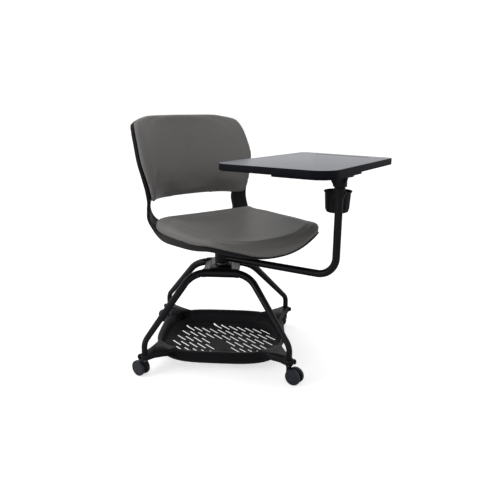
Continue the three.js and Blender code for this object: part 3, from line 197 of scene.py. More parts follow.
class ChairFinishes(bpy.types.PropertyGroup):
    """Colours of the chair."""

    leatherette_cover: colour((0.163, 0.156, 0.151), "Cushion covers")
    coated_steel: colour((0.0045, 0.0048, 0.0070), "Tubes, hub and bracket")
    black_plastic: colour((0.0068, 0.0070, 0.0085), "Shell, tray, cup and hoods")
    wheel_plastic: colour((0.020, 0.022, 0.031), "Caster wheels")
    tablet_face: colour((0.168, 0.176, 0.205), "Writing surface")
    tablet_edge: colour((0.006, 0.0065, 0.0095), "Edge band of the tablet")
    plain_steel: colour((0.50, 0.50, 0.51), "Spindle, screws and axles")
    floor: colour((0.94, 0.94, 0.94), "The pale floor")


class ChairStage(bpy.types.PropertyGroup):
    """Camera and light."""

    camera_place: bpy.props.FloatVectorProperty(
        description="Camera position from the spindle's foot",
        default=(0.1616, -1.8498, 0.893),
        subtype="TRANSLATION",
        unit="LENGTH",
        size=3,
    )
    camera_turn: turn(4.35, "The camera looks this far round from +Y")
    camera_tilt: turn(14.793, "The camera looks this far down")
    lens: share(39.04, "Focal length in millimetres")
    shift_x: share(0.0442, "Framing of the photograph, across")
    shift_y: share(-0.0130, "Framing of the photograph, up")
    dome_light: share(0.5, "Light from all round")
    key_power: share(12, "Power of the large soft lamp above")
    side_power: share(20, "Power of the soft lamp at the left")
    floor_lift: share(0.62, "How far the floor is lifted to white in the picture")


GROUPS = {
    "chair_base": ChairBaseSizes,
    "chair_seat": ChairSeatSizes,
    "chair_arm": ChairArmSizes,
    "chair_finishes": ChairFinishes,
    "chair_stage": ChairStage,
}


# Shapes


def bent_path(corners, bend_radii, steps):
    """Points and directions along straight runs joined by round bends."""
    stations = [(corners[0], (corners[1] - corners[0]).normalized())]
    for before, corner, after, radius in zip(corners, corners[1:], corners[2:], bend_radii):
        arriving = (corner - before).normalized()
        leaving = (after - corner).normalized()
        bend = arriving.angle(leaving)
        axis = arriving.cross(leaving).normalized()
        start = corner - arriving * radius * math.tan(bend / 2)
        spoke = arriving.cross(axis) * radius
        for step in range(steps + 1):
            spin = Matrix.Rotation(bend * step / steps, 3, axis)
            stations.append((start - spoke + spin @ spoke, spin @ arriving))
    stations.append((corners[-1], (corners[-1] - corners[-2]).normalized()))
    return stations


def swept_tube(bm, stations, radius_at, sides):
    """Extrude a round section along the stations, with its radius at each."""

    def place(point, side, along):
        up = along.cross(side)
        turned = Matrix((side, up, along)).transposed().to_4x4()
        return Matrix.Translation(point) @ turned @ Matrix.Scale(radius_at(point), 4)

    point, along = stations[0]
    side = along.orthogonal().normalized()
    here = place(point, side, along)
    made = bmesh.ops.create_circle(bm, cap_ends=True, radius=1, segments=sides, matrix=here)
    section = list(made["verts"][0].link_faces)
    for next_point, next_along in stations[1:]:
        side = along.rotation_difference(next_along) @ side
        along = next_along
        there = place(next_point, side, along)
        grown = bmesh.ops.extrude_face_region(bm, geom=section)["geom"]
        section = [part for part in grown if isinstance(part, bmesh.types.BMFace)]
        verts = [part for part in grown if isinstance(part, bmesh.types.BMVert)]
        bmesh.ops.transform(bm, matrix=there @ here.inverted(), verts=verts)
        here = there


def spun(bm, profile, sides, place=None):
    """Turn a profile of (radius, height) pairs round Z, and set it in its place."""
    verts = [bm.verts.new((radius, 0, height)) for radius, height in profile]
    edges = [bm.edges.new(pair) for pair in zip(verts, verts[1:])]
    before = set(bm.verts) - set(verts)
    bmesh.ops.spin(
        bm,
        geom=verts + edges,
        cent=(0, 0, 0),
        axis=(0, 0, 1),
        dvec=(0, 0, 0),
        angle=2 * math.pi,
        steps=sides,
        use_merge=True,
        use_duplicate=False,
    )
    made = [vert for vert in bm.verts if vert not in before]
    bmesh.ops.remove_doubles(bm, verts=made, dist=1e-6)
    made = [vert for vert in bm.verts if vert not in before]
    if place is not None:
        bmesh.ops.transform(bm, matrix=place, verts=made)
    return made


def soften(bm, width, degrees=40, segments=2):
    """Round the edges that turn by more than this."""
    sharp = [
        edge
        for edge in bm.edges
        if len(edge.link_faces) == 2 and edge.calc_face_angle(0) > math.radians(degrees)
    ]
    bmesh.ops.bevel(
        bm,
        geom=sharp,
        offset=width,
        offset_type="OFFSET",
        segments=segments,
        profile=0.5,
        affect="EDGES",
        clamp_overlap=True,
        material=-1,
    )


def round_corners(bm, corners_and_radii, steps):
    """Round each corner of a flat outline by its own radius."""
    for corner, radius in corners_and_radii:
        legs = [(edge.other_vert(corner).co - corner.co).normalized() for edge in corner.link_edges]
        half_angle = legs[0].angle(legs[1]) / 2
        bmesh.ops.bevel(
            bm,
            geom=[corner],
            offset=radius / math.tan(half_angle),
            offset_type="OFFSET",
            segments=steps,
            profile=0.5,
            affect="VERTICES",
            clamp_overlap=False,
            material=-1,
        )


def thickened(bm, faces, vec):
    """Extrude flat faces into a solid."""
    grown = bmesh.ops.extrude_face_region(bm, geom=faces)["geom"]
    moved = [part for part in grown if isinstance(part, bmesh.types.BMVert)]
    bmesh.ops.translate(bm, verts=moved, vec=vec)


def rounded_plate(bm, corners, radii, bottom, thickness, steps):
    """A flat plate through corner points, each rounded by its own radius."""
    verts = [bm.verts.new((x, y, bottom)) for x, y in corners]
    bmesh.ops.contextual_create(bm, geom=verts)
    round_corners(bm, zip(verts, radii), steps)
    outline = [face for face in bm.faces if all(abs(v.co.z - bottom) < 1e-6 for v in face.verts)]
    thickened(bm, outline[-1:], (0, 0, thickness))


def copied(node, join_flat=True):
    """A node's mesh, its loose triangles merged and its flat faces joined."""
    bm = bmesh.new()
    bm.from_mesh(NODES[node].data)
    bmesh.ops.remove_doubles(bm, verts=bm.verts, dist=2e-6)
    if join_flat:
        bmesh.ops.dissolve_limit(
            bm,
            angle_limit=math.radians(1),
            use_dissolve_boundaries=False,
            verts=bm.verts,
            edges=bm.edges,
            delimit=set(),
        )
    return bm


def softened_copy(node, width, degrees=30, segments=2):
    """A node's own shape with its edges rounded."""
    bm = copied(node)
    soften(bm, width, degrees, segments)
    return bm


def upright(turned=0.0, place=(0, 0, 0)):
    """From a piece's own frame, about the spindle's foot, to the row frame."""
    around = Matrix.Rotation(turned, 4, "Z")
    return Matrix.Translation(SPINDLE_FOOT) @ around @ Matrix.Translation(place)


def smoothed(mesh, degrees):
    """Shade smooth, but sharp where faces turn by more than this."""
    mesh.shade_smooth()
    mesh.set_sharp_from_angle(angle=math.radians(degrees))


def finished(node, bm, finish, body, matrix=None, smooth_degrees=38, name=None):
    """Make the piece that replaces a node, its place in its mesh, and ride it on its body."""
    name = name or node + "_finish"
    if matrix is not None:
        bmesh.ops.transform(bm, matrix=matrix, verts=bm.verts)
    bmesh.ops.recalc_face_normals(bm, faces=bm.faces)
    mesh = bpy.data.meshes.new(name)
    bm.to_mesh(mesh)
    bm.free()
    smoothed(mesh, smooth_degrees)
    piece = bpy.data.objects.new(name, mesh)
    bpy.context.scene.collection.objects.link(piece)
    mesh.materials.append(material_of(finish))
    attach(piece, body)
    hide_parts(node)
    return piece


def round_piece(node, radius, edge, sides, finish, body, place):
    """A round bar with broken edges in a node's place, as high as the node."""
    low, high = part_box(node)
    profile = [
        (0, low.z),
        (radius - edge, low.z),
        (radius, low.z + edge),
        (radius, high.z - edge),
        (radius - edge, high.z),
        (0, high.z),
    ]
    bm = bmesh.new()
    spun(bm, profile, sides)
    finished(node, bm, finish, body, place, 30)


def carve(piece, cutter_bm, matrix, smooth_degrees):
    """Cut a closed shape out of a finished piece, and shade it again."""
    bmesh.ops.transform(cutter_bm, matrix=matrix, verts=cutter_bm.verts)
    bmesh.ops.recalc_face_normals(cutter_bm, faces=cutter_bm.faces)
    mesh = bpy.data.meshes.new("cutter")
    cutter_bm.to_mesh(mesh)
    cutter_bm.free()
    cutter = bpy.data.objects.new("cutter", mesh)
    bpy.context.scene.collection.objects.link(cutter)
    modifier = piece.modifiers.new("cut", "BOOLEAN")
    modifier.operation = "DIFFERENCE"
    modifier.solver = "EXACT"
    modifier.object = cutter
    settle(piece)
    bpy.data.objects.remove(cutter)
    bpy.data.meshes.remove(mesh)
    smoothed(piece.data, smooth_degrees)


def settle(piece):
    """Turn a piece's modifiers into its mesh."""
    graph = bpy.context.evaluated_depsgraph_get()
    mesh = bpy.data.meshes.new_from_object(piece.evaluated_get(graph), depsgraph=graph)
    old = piece.data
    piece.modifiers.clear()
    piece.data = mesh
    mesh.name = piece.name
    bpy.data.meshes.remove(old)


# Finishes

# The slot in the record, roughness, grain cells per metre, share of fine grain, height of the grain, strength
# of the mottle, its patches per metre, and the shader's other values.
FINISHES = {
    "leatherette cover": ("leatherette", 0.46, 780, 0.35, 0.00006, 0.10, 6, {"Specular IOR Level": 0.3}),
    "coated steel": ("coated_steel", 0.36, 520, 1, 0.00003, 0.25, 14, {"Specular IOR Level": 0.15}),
    "black plastic": ("black_plastic", 0.5, 1500, 0.6, 0.00004, 0.25, 12, {"Specular IOR Level": 0.12}),
    "wheel plastic": ("wheel_plastic", 0.42, 1800, 0.7, 0.00002, 0.2, 30, {"Specular IOR Level": 0.25}),
    "tablet face": ("tablet_laminate", 0.36, 1300, 0.9, 0.00002, 0.08, 5, {}),
    "tablet edge": ("tablet_laminate", 0.45, 1500, 0.8, 0.00002, 0.2, 20, {"Specular IOR Level": 0.05}),
    "plain steel": ("plain_steel", 0.34, 2200, 1, 0.00001, 0.15, 60, {"Metallic": 1}),
}


def computed(tree, operation, *values):
    """A math node's result, from plain numbers and other nodes' sockets."""
    node = tree.nodes.new("ShaderNodeMath")
    node.operation = operation
    for socket, value in zip(node.inputs, values):
        if isinstance(value, bpy.types.NodeSocket):
            tree.links.new(value, socket)
        else:
            socket.default_value = value
    return node.outputs[0]


def node_group(name, inputs, outputs):
    """A shader node group with named sockets, and its two end nodes."""
    group = bpy.data.node_groups.new(name, "ShaderNodeTree")
    for socket_name, kind, default in inputs:
        socket = group.interface.new_socket(name=socket_name, in_out="INPUT", socket_type=kind)
        socket.default_value = default
    for socket_name, kind in outputs:
        group.interface.new_socket(name=socket_name, in_out="OUTPUT", socket_type=kind)
    return group, group.nodes.new("NodeGroupInput"), group.nodes.new("NodeGroupOutput")


def pebble_group():
    """Fine raised grain, as on leatherette or moulded plastic."""
    if "Pebble grain" in bpy.data.node_groups:
        return bpy.data.node_groups["Pebble grain"]
    group, start, end = node_group(
        "Pebble grain",
        [("Cells per metre", "NodeSocketFloat", 900.0), ("Fineness", "NodeSocketFloat", 0.5)],
        [("Height", "NodeSocketFloat")],
    )
    nodes, links = group.nodes, group.links
    coordinate = nodes.new("ShaderNodeTexCoord")
    cells = nodes.new("ShaderNodeTexVoronoi")
    cells.feature = "DISTANCE_TO_EDGE"
    crown = nodes.new("ShaderNodeMapRange")
    crown.inputs["From Max"].default_value = 0.22
    links.new(cells.outputs["Distance"], crown.inputs["Value"])
    fine = nodes.new("ShaderNodeTexNoise")
    fine.inputs["Detail"].default_value = 3
    for texture in (cells, fine):
        links.new(coordinate.outputs["Object"], texture.inputs["Vector"])
        links.new(start.outputs["Cells per metre"], texture.inputs["Scale"])
    mix = nodes.new("ShaderNodeMix")
    links.new(start.outputs["Fineness"], mix.inputs["Factor"])
    links.new(crown.outputs["Result"], mix.inputs["A"])
    links.new(fine.outputs["Fac"], mix.inputs["B"])
    links.new(mix.outputs["Result"], end.inputs["Height"])
    return group


def mottle_group():
    """Slow, slight change of colour and gloss over a surface."""
    if "Mottle" in bpy.data.node_groups:
        return bpy.data.node_groups["Mottle"]
    group, start, end = node_group(
        "Mottle",
        [
            ("Colour", "NodeSocketColor", (0.5, 0.5, 0.5, 1)),
            ("Patches per metre", "NodeSocketFloat", 9.0),
            ("Strength", "NodeSocketFloat", 0.1),
            ("Roughness", "NodeSocketFloat", 0.5),
            ("Roughness change", "NodeSocketFloat", 0.06),
        ],
        [("Colour", "NodeSocketColor"), ("Roughness", "NodeSocketFloat")],
    )
    nodes, links = group.nodes, group.links
    coordinate = nodes.new("ShaderNodeTexCoord")
    patches = nodes.new("ShaderNodeTexNoise")
    patches.inputs["Detail"].default_value = 4
    links.new(coordinate.outputs["Object"], patches.inputs["Vector"])
    links.new(start.outputs["Patches per metre"], patches.inputs["Scale"])
    centred = computed(group, "SUBTRACT", patches.outputs["Fac"], 0.5)
    tone = computed(group, "MULTIPLY_ADD", centred, start.outputs["Strength"], 1)
    tinted = nodes.new("ShaderNodeVectorMath")
    tinted.operation = "SCALE"
    links.new(start.outputs["Colour"], tinted.inputs[0])
    links.new(tone, tinted.inputs["Scale"])
    change, roughness = start.outputs["Roughness change"], start.outputs["Roughness"]
    gloss = computed(group, "MULTIPLY_ADD", centred, change, roughness)
    links.new(tinted.outputs["Vector"], end.inputs["Colour"])
    links.new(gloss, end.inputs["Roughness"])
    return group


def material_of(finish):
    """A finish's material, with its own grain and mottle, made when it is first asked for."""
    if finish in bpy.data.materials:
        return bpy.data.materials[finish]
    tint = getattr(bpy.context.scene.chair_finishes, finish.replace(" ", "_"))
    _, roughness, cells, fineness, grain_height, mottle, patches, plain = FINISHES[finish]
    material = bpy.data.materials.new(finish)
    material.use_nodes = True
    nodes, links = material.node_tree.nodes, material.node_tree.links
    shader = nodes["Principled BSDF"]
    for socket, value in plain.items():
        shader.inputs[socket].default_value = value
    mottled = nodes.new("ShaderNodeGroup")
    mottled.node_tree = mottle_group()
    mottled.inputs["Colour"].default_value = (*tint, 1)
    mottled.inputs["Patches per metre"].default_value = patches
    mottled.inputs["Strength"].default_value = mottle
    mottled.inputs["Roughness"].default_value = roughness
    links.new(mottled.outputs["Colour"], shader.inputs["Base Color"])
    links.new(mottled.outputs["Roughness"], shader.inputs["Roughness"])
    grain = nodes.new("ShaderNodeGroup")
    grain.node_tree = pebble_group()
    grain.inputs["Cells per metre"].default_value = cells
    grain.inputs["Fineness"].default_value = fineness
    bump = nodes.new("ShaderNodeBump")
    bump.inputs["Distance"].default_value = grain_height
    bump.inputs["Strength"].default_value = 1
    links.new(grain.outputs["Height"], bump.inputs["Height"])
    links.new(bump.outputs["Normal"], shader.inputs["Normal"])
    return material


# The shell and the cushions on it

# Stations from the front lip to the top edge, as shares of the seat's front, the back's height over the
# seat plate and the half width: the centre line's reach and height, the half width, the rim's reach and
# height.
SHELL_STATIONS = (
    (1.0, 0.0469, 0.5, 0.97, 0.0916),
    (0.956, 0.0341, 0.757, 0.912, 0.1339),
    (0.843, 0.0231, 0.877, 0.824, 0.1565),
    (0.597, 0.0212, 0.952, 0.597, 0.1423),
    (0.33, 0.0235, 0.972, 0.33, 0.1284),
    (0.079, 0.0302, 0.962, 0.079, 0.1138),
    (-0.157, 0.0499, 0.932, -0.133, 0.1044),
    (-0.321, 0.0872, 0.912, -0.28, 0.1158),
    (-0.44, 0.1266, 0.903, -0.374, 0.1549),
    (-0.555, 0.1738, 0.893, -0.437, 0.2019),
    (-0.66, 0.2488, 0.872, -0.459, 0.2582),
    (-0.692, 0.3192, 0.867, -0.459, 0.3239),
    (-0.705, 0.4177, 0.903, -0.449, 0.4177),
    (-0.72, 0.5236, 0.951, -0.455, 0.5236),
    (-0.77, 0.6526, 0.996, -0.487, 0.6526),
    (-0.846, 0.7935, 0.987, -0.572, 0.7935),
    (-0.906, 0.892, 0.966, -0.65, 0.8853),
    (-0.941, 0.966, 0.915, -0.745, 0.9525),
    (-0.953, 0.9961, 0.66, -0.89, 0.9885),
)
# How sharply the sides curl up: the power of the share of the half width, and what the straps add to it,
# most at their middle and nothing at the span's ends.
SIDE_POWER = 2.2
STRAP_EXTRA_POWER = 8
STRAP_MIDDLE = 0.535
STRAP_SPAN = 0.15
# The rim under the edge: where the seat's rim grows, and where the back's takes over. The powers keep it
# close to the sides and to the top edge.
SKIRT_START = (0.05, 0.14)
SKIRT_END = (0.27, 0.42)
RIM_POWER = 8
TOP_RIM_POWER = 72
# Where the moulding starts, and how thin its front lip is.
SHELL_START = 0.012
LIP_SHARE = 0.4
LIP_LENGTH = (0.03, 0.2)
# The opening: top edge's end to where its side begins to bend, and the points on each of its curves.
WINDOW_SHOULDER = 0.016
WINDOW_STEPS = 24
# A cushion's outline: its points, the power that keeps its rounding to the corners, the share of the
# thickness that stands at the edge, and how far the underside is drawn in.
OUTLINE_STEPS = 480
CORNER_POWER = 10
PAD_EDGE = 0.42
PAD_TUCK = 0.035
# The back cushion swells along the shell's normals, taken nearer to its middle.
CALM_SHARE = 0.5
CALM_SIDE_SHARE = 0.85
# The seat cushion swells upwards, and leans out near its edge.
PAD_LEAN = 0.5
PAD_LEAN_DEPTH = 0.07
# Its front corners stand out past the shell and are thinner, and it is fuller behind the sitter.
FRONT_CORNERS = (0.10, 0.32)
FRONT_OVERHANG = 0.045
FRONT_THINNING = 0.62
SEAT_REAR = (0.33, 0.42)
REAR_FULLNESS = 0.14
# The crease along its front edge, and how far an edge must face the front to have it.
CREASE_DEPTH = 0.012
CREASE_SOFTNESS = 0.35
FACING_FRONT = (0.25, 0.8)
# The cloth step's frames, and the grid of each cushion before it.
CLOTH_FRAMES = 20
PAD_ROWS, PAD_COLUMNS = 60, 40
# The tablet's corners from where its near edge starts, each with its rounding.
TABLET_CORNERS = ((-0.157, 0.393), (-0.167, 0), (0.299, -0.039), (0.342, 0.311))
TABLET_RADII = (0.042, 0.066, 0.014, 0.026)


def smooth_step(value, low, high):
    """Zero below low, one above high and smooth between."""
    part = min(max((value - low) / (high - low), 0), 1)
    return part * part * (3 - 2 * part)


def curve_through(points, along):
    """A point on the centripetal Catmull-Rom curve through the points; along runs from 0 to 1."""
    last = len(points) - 1
    place = last * along
    index = min(int(place), last - 1)
    part = place - index
    start, end = points[index], points[index + 1]
    before = points[index - 1] if index else start * 2 - end
    after = points[index + 2] if index + 2 <= last else end * 2 - start
    gaps = [max((b - a).length ** 0.5, 1e-4) for a, b in ((before, start), (start, end), (end, after))]
    leave = (start - before) / gaps[0] - (end - before) / (gaps[0] + gaps[1]) + (end - start) / gaps[1]
    arrive = (end - start) / gaps[1] - (after - start) / (gaps[1] + gaps[2]) + (after - end) / gaps[2]
    leave, arrive = leave * gaps[1], arrive * gaps[1]
    square = (end - start) * 3 - leave * 2 - arrive
    cube = (start - end) * 2 + leave + arrive
    return start + leave * part + square * part**2 + cube * part**3


class ShellSurface:
    """The shell's upper surface in the seat's own frame, the seat facing -Y."""

    def __init__(self, sizes):
        self.sizes = sizes
        self.middle = [
            Vector((reach * sizes.front, self.level(height), half * sizes.half_width))
            for reach, height, half, _, _ in SHELL_STATIONS
        ]
        self.rim = [
            Vector((reach * sizes.front, self.level(height), 0))
            for _, _, _, reach, height in SHELL_STATIONS
        ]
        self.known = {}

    def level(self, height):
        """A station's height over the floor."""
        return self.sizes.plate_top + height * self.sizes.back_height

    def lines(self, along):
        """The centre line's and the rim's points at this share of the way."""
        if along not in self.known:
            self.known[along] = (curve_through(self.middle, along), curve_through(self.rim, along))
        return self.known[along]

    def point(self, along, side):
        """along runs from the front lip to the top edge, side from -1 to 1."""
        middle, rim = self.lines(along)
        from_strap = min(abs(along - STRAP_MIDDLE) / STRAP_SPAN, 1)
        power = SIDE_POWER + STRAP_EXTRA_POWER * math.cos(from_strap * math.pi / 2) ** 2
        curl = abs(side) ** power
        reach = middle.x + (rim.x - middle.x) * curl
        height = middle.y + (rim.y - middle.y) * curl
        return Vector((side * middle.z, -reach, height))

    def off(self, along, side, offset):
        """A point this far off the surface, on the sitter's side."""
        low, high = max(along - 0.004, 0), min(along + 0.004, 1)
        lengthwise = self.point(high, side) - self.point(low, side)
        across = self.point(along, side + 0.004) - self.point(along, side - 0.004)
        return self.point(along, side) + across.cross(lengthwise).normalized() * offset


def closed_pad(bm, rows, columns, upper_at, under_at):
    """Two grids bridged round their edges into one closed shape.

    upper_at and under_at give the point for a place from -1 to 1 along and across.
    """
    for point_at in (upper_at, under_at):
        grid = bmesh.ops.create_grid(bm, x_segments=columns, y_segments=rows, size=1)["verts"]
        for vert in grid:
            vert.co = point_at(vert.co.y, math.sin(vert.co.x * math.pi / 2))
    borders = [edge for edge in bm.edges if edge.is_boundary]
    bmesh.ops.bridge_loops(bm, edges=borders)


class PadShape:
    """A cushion's place on the shell: a patch of it, rolled over at its edge."""

    def __init__(self, surface, span, overhang, sag, corner, thickness, roll, upright_lean):
        """span is its ends on the shell, overhang its half width as a share of the shell's, sag how far
        the near end drops at its sides, corner the rounding; upright_lean is for the seat's."""
        self.surface = surface
        self.start, self.end = span
        self.overhang, self.sag, self.corner = overhang, sag, corner
        self.thickness, self.roll, self.upright_lean = thickness, roll, upright_lean
        self.line = []
        for step in range(OUTLINE_STEPS):
            angle = math.tau * step / OUTLINE_STEPS
            across, along = math.cos(angle), math.sin(angle)
            reach = max(abs(across), abs(along))
            self.line.append(surface.point(*self.patch(along / reach, across / reach)))
        self.outline = KDTree(OUTLINE_STEPS)
        for index, place in enumerate(self.line):
            self.outline.insert(place, index)
        self.outline.balance()

    def patch(self, end, side, tuck=0.0):
        """Place on the shell for a place on the square from -1 to 1, its corners rounded."""
        drawn_end = end * (1 - self.corner * abs(side) ** CORNER_POWER)
        drawn_side = side * (1 - self.corner * abs(end) ** CORNER_POWER)
        low = self.start - self.sag * drawn_side**2
        length = self.end - low
        margin = tuck * length / 2
        along = low + margin + (length - 2 * margin) * (drawn_end + 1) / 2
        overhang = self.overhang + FRONT_OVERHANG * self.near_front(along) - tuck
        return along, drawn_side * overhang

    def edge_beside(self, place):
        """The nearest point of the patch's outline, and how far it is."""
        index = self.outline.find(place)[1]
        here = self.line[index]
        best = here
        for beside in (self.line[index - 1], self.line[(index + 1) % len(self.line)]):
            foot, share_of = intersect_point_line(place, here, beside)
            if 0 < share_of < 1 and (place - foot).length < (place - best).length:
                best = foot
        return best, (place - best).length

    def near_front(self, along):
        """One at the front corners of the seat and zero further back."""
        return 1 - smooth_step(along, *FRONT_CORNERS)

    def height(self, along, across):
        """Thickness at full crown: thinner at the front's corners and fuller behind the sitter."""
        corners = FRONT_THINNING * self.near_front(along) * across**2
        rear = 0
        if self.upright_lean:
            rear = REAR_FULLNESS * smooth_step(along, *SEAT_REAR) * (1 - across**2)
        return self.thickness * (1 - corners + rear)

    def upper(self, end, side):
        """The cover: up from the widest line in a roll, or in a crease where it faces the front."""
        along, across = self.patch(end, side)
        base = self.surface.point(along, across)
        nearest, depth = self.edge_beside(base)
        if not self.upright_lean:
            middle = (self.start + self.end) / 2
            calm = (middle + (along - middle) * CALM_SHARE, across * CALM_SIDE_SHARE)
            out = self.surface.off(*calm, 1) - self.surface.point(*calm)
            front = 0
        else:
            lean = PAD_LEAN * max(1 - depth / PAD_LEAN_DEPTH, 0)
            towards = Vector((-nearest.x, -nearest.y, 0)).normalized()
            out = Vector((0, 0, 1)) + towards * lean
            front = smooth_step(-nearest.y / max(nearest.xy.length, 1e-6), *FACING_FRONT)
        rolled = min(depth / self.roll, 1)
        roll = math.sqrt(1 - (1 - rolled) ** 2)
        part = depth / CREASE_DEPTH
        crease = (1 + part - math.sqrt((1 - part) ** 2 + CREASE_SOFTNESS**2)) / 2
        rise = roll + (crease - roll) * front
        swell = PAD_EDGE + (1 - PAD_EDGE) * max(rise, 0)
        return base + out.normalized() * self.height(along, across) * swell

    def under(self, end, side, gap):
        """The underside, drawn in and clear of the shell."""
        return self.surface.off(*self.patch(end, side, PAD_TUCK), gap)


# Pieces


class CHAIR_OT_arch_tubes(bpy.types.Operator):
    """Two tapered tubes, each bent over into an arch"""

    bl_idname = "chair.arch_tubes"
    bl_label = "Arch tubes"

    def execute(self, context):
        sizes = context.scene.chair_base
        rise = sizes.arch_height - sizes.knee_height
        growth = sizes.tube_top_radius - sizes.tube_foot_radius

        def radius_at(point):
            climb = min(max((point.z - sizes.knee_height) / rise, 0), 1)
            return sizes.tube_foot_radius + growth * climb

        radii = [sizes.knee_bend_radius, sizes.arch_bend_radius]
        for name, along in (("front_arch_tube", -1), ("rear_arch_tube", 1)):
            deep, top = along * sizes.leg_half_depth, along * sizes.arch_half_depth
            half = [
                Vector((sizes.leg_half_span, deep, sizes.foot_height)),
                Vector((sizes.leg_half_span, deep, sizes.knee_height)),
                Vector((sizes.arch_half_top, top, sizes.arch_height)),
            ]
            mirrored = [Vector((-corner.x, corner.y, corner.z)) for corner in reversed(half)]
            bm = bmesh.new()
            swept_tube(bm, bent_path(half + mirrored, radii + radii[::-1], 14), radius_at, 28)
            finished(name, bm, "coated steel", "base", upright(), 60)
        return {"FINISHED"}


class CHAIR_OT_hub(bpy.types.Operator):
    """The cast hub on the arches, with softened edges"""

    bl_idname = "chair.hub"
    bl_label = "Hub casting"

    def execute(self, context):
        bm = softened_copy("hub_casting", 0.0022, segments=3)
        finished("hub_casting", bm, "coated steel", "base", name="hub_finish")
        return {"FINISHED"}


class CHAIR_OT_bag_tray(bpy.types.Operator):
    """The slotted tray, and its four knobs with softened edges"""

    bl_idname = "chair.bag_tray"
    bl_label = "Bag tray"

    def execute(self, context):
        finished("bag_tray", copied("bag_tray", join_flat=False), "black plastic", "base")
        for corner in CORNERS:
            knob = "tray_knob_" + corner
            bm = softened_copy(knob, 0.0012)
            finished(knob, bm, "black plastic", "base", name="tray_knob_finish_" + corner)
        return {"FINISHED"}


class CHAIR_OT_casters(bpy.types.Operator):
    """Four twin-wheel casters: a body and two wheels each"""

    bl_idname = "chair.casters"
    bl_label = "Casters"

    def wheel(self, sizes, name, corner):
        """One wheel, dished on its outer side, on its own end of the axle."""
        radius, width = sizes.wheel_radius, sizes.wheel_width
        profile = [
            (0, 0),
            (radius - 0.0012, 0),
            (radius, 0.0012),
            (radius, width - 0.0032),
            (radius - 0.0006, width - 0.0014),
            (radius - 0.0020, width - 0.0002),
            (radius - 0.0036, width - 0.0002),
            (radius - 0.0046, width - 0.0014),
            (radius * 0.5, width - 0.0009),
            (radius * 0.34, width - 0.0006),
            (radius * 0.30, width - 0.0013),
            (0, width - 0.0009),
        ]
        axle = middle_of("caster_axle_" + corner)
        outward = (middle_of(name) - axle).normalized()
        outward.z = 0
        outward.normalize()
        place = Vector((axle.x, axle.y, radius))
        place += outward * (sizes.caster_web / 2 + sizes.caster_side_gap)
        turned = Vector((0, 0, 1)).rotation_difference(outward).to_matrix().to_4x4()
        bm = bmesh.new()
        spun(bm, profile, 56, Matrix.Translation(place) @ turned)
        finished(name, bm, "wheel plastic", name, smooth_degrees=34)

    def body(self, sizes, corner):
        """The body between the wheels: a part disc, a neck and the round boss for the stem."""
        stem = middle_of("caster_stem_" + corner)
        axle = middle_of("caster_axle_" + corner)
        heading = math.atan2(axle.y - stem.y, axle.x - stem.x)
        web, radius = sizes.caster_web, sizes.body_radius
        sweep = sizes.body_end - sizes.body_start
        arcs = [(sizes.axle_hub_radius, math.pi * (1 + step / 12)) for step in range(13)]
        arcs += [(radius, sizes.body_start + sweep * step / 26) for step in range(27)]
        bm = bmesh.new()
        verts = [bm.verts.new((r * math.cos(a), -web / 2, r * math.sin(a))) for r, a in arcs]
        thickened(bm, bmesh.ops.contextual_create(bm, geom=verts)["faces"], (0, web, 0))
        bmesh.ops.translate(bm, verts=bm.verts, vec=(sizes.caster_trail, 0, sizes.wheel_radius))
        neck_low, neck_high = sizes.wheel_radius + 0.004, sizes.boss_top - 0.004
        neck = bmesh.ops.create_cube(bm, size=1)["verts"]
        bmesh.ops.scale(bm, verts=neck, vec=(sizes.neck_length, web, neck_high - neck_low))
        bmesh.ops.translate(bm, verts=neck, vec=(0, 0, (neck_low + neck_high) / 2))
        soften(bm, 0.0012, 50)
        boss = [
            (0, neck_high - 0.006),
            (web / 2 - 0.0002, neck_high - 0.004),
            (sizes.boss_radius, neck_high - 0.0004),
            (sizes.boss_radius, sizes.boss_top - 0.0014),
            (sizes.boss_radius - 0.0014, sizes.boss_top),
            (0, sizes.boss_top),
        ]
        spun(bm, boss, 40)
        place = Matrix.Translation((stem.x, stem.y, 0)) @ Matrix.Rotation(heading, 4, "Z")
        name = "caster_body_finish_" + corner
        finished("caster_hood_" + corner, bm, "black plastic", "caster_" + corner, place, name=name)

    def execute(self, context):
        sizes = context.scene.chair_base
        for corner in CORNERS:
            self.body(sizes, corner)
            for word in ("left", "right"):
                self.wheel(sizes, f"wheel_{word}_{corner}", corner)
        return {"FINISHED"}


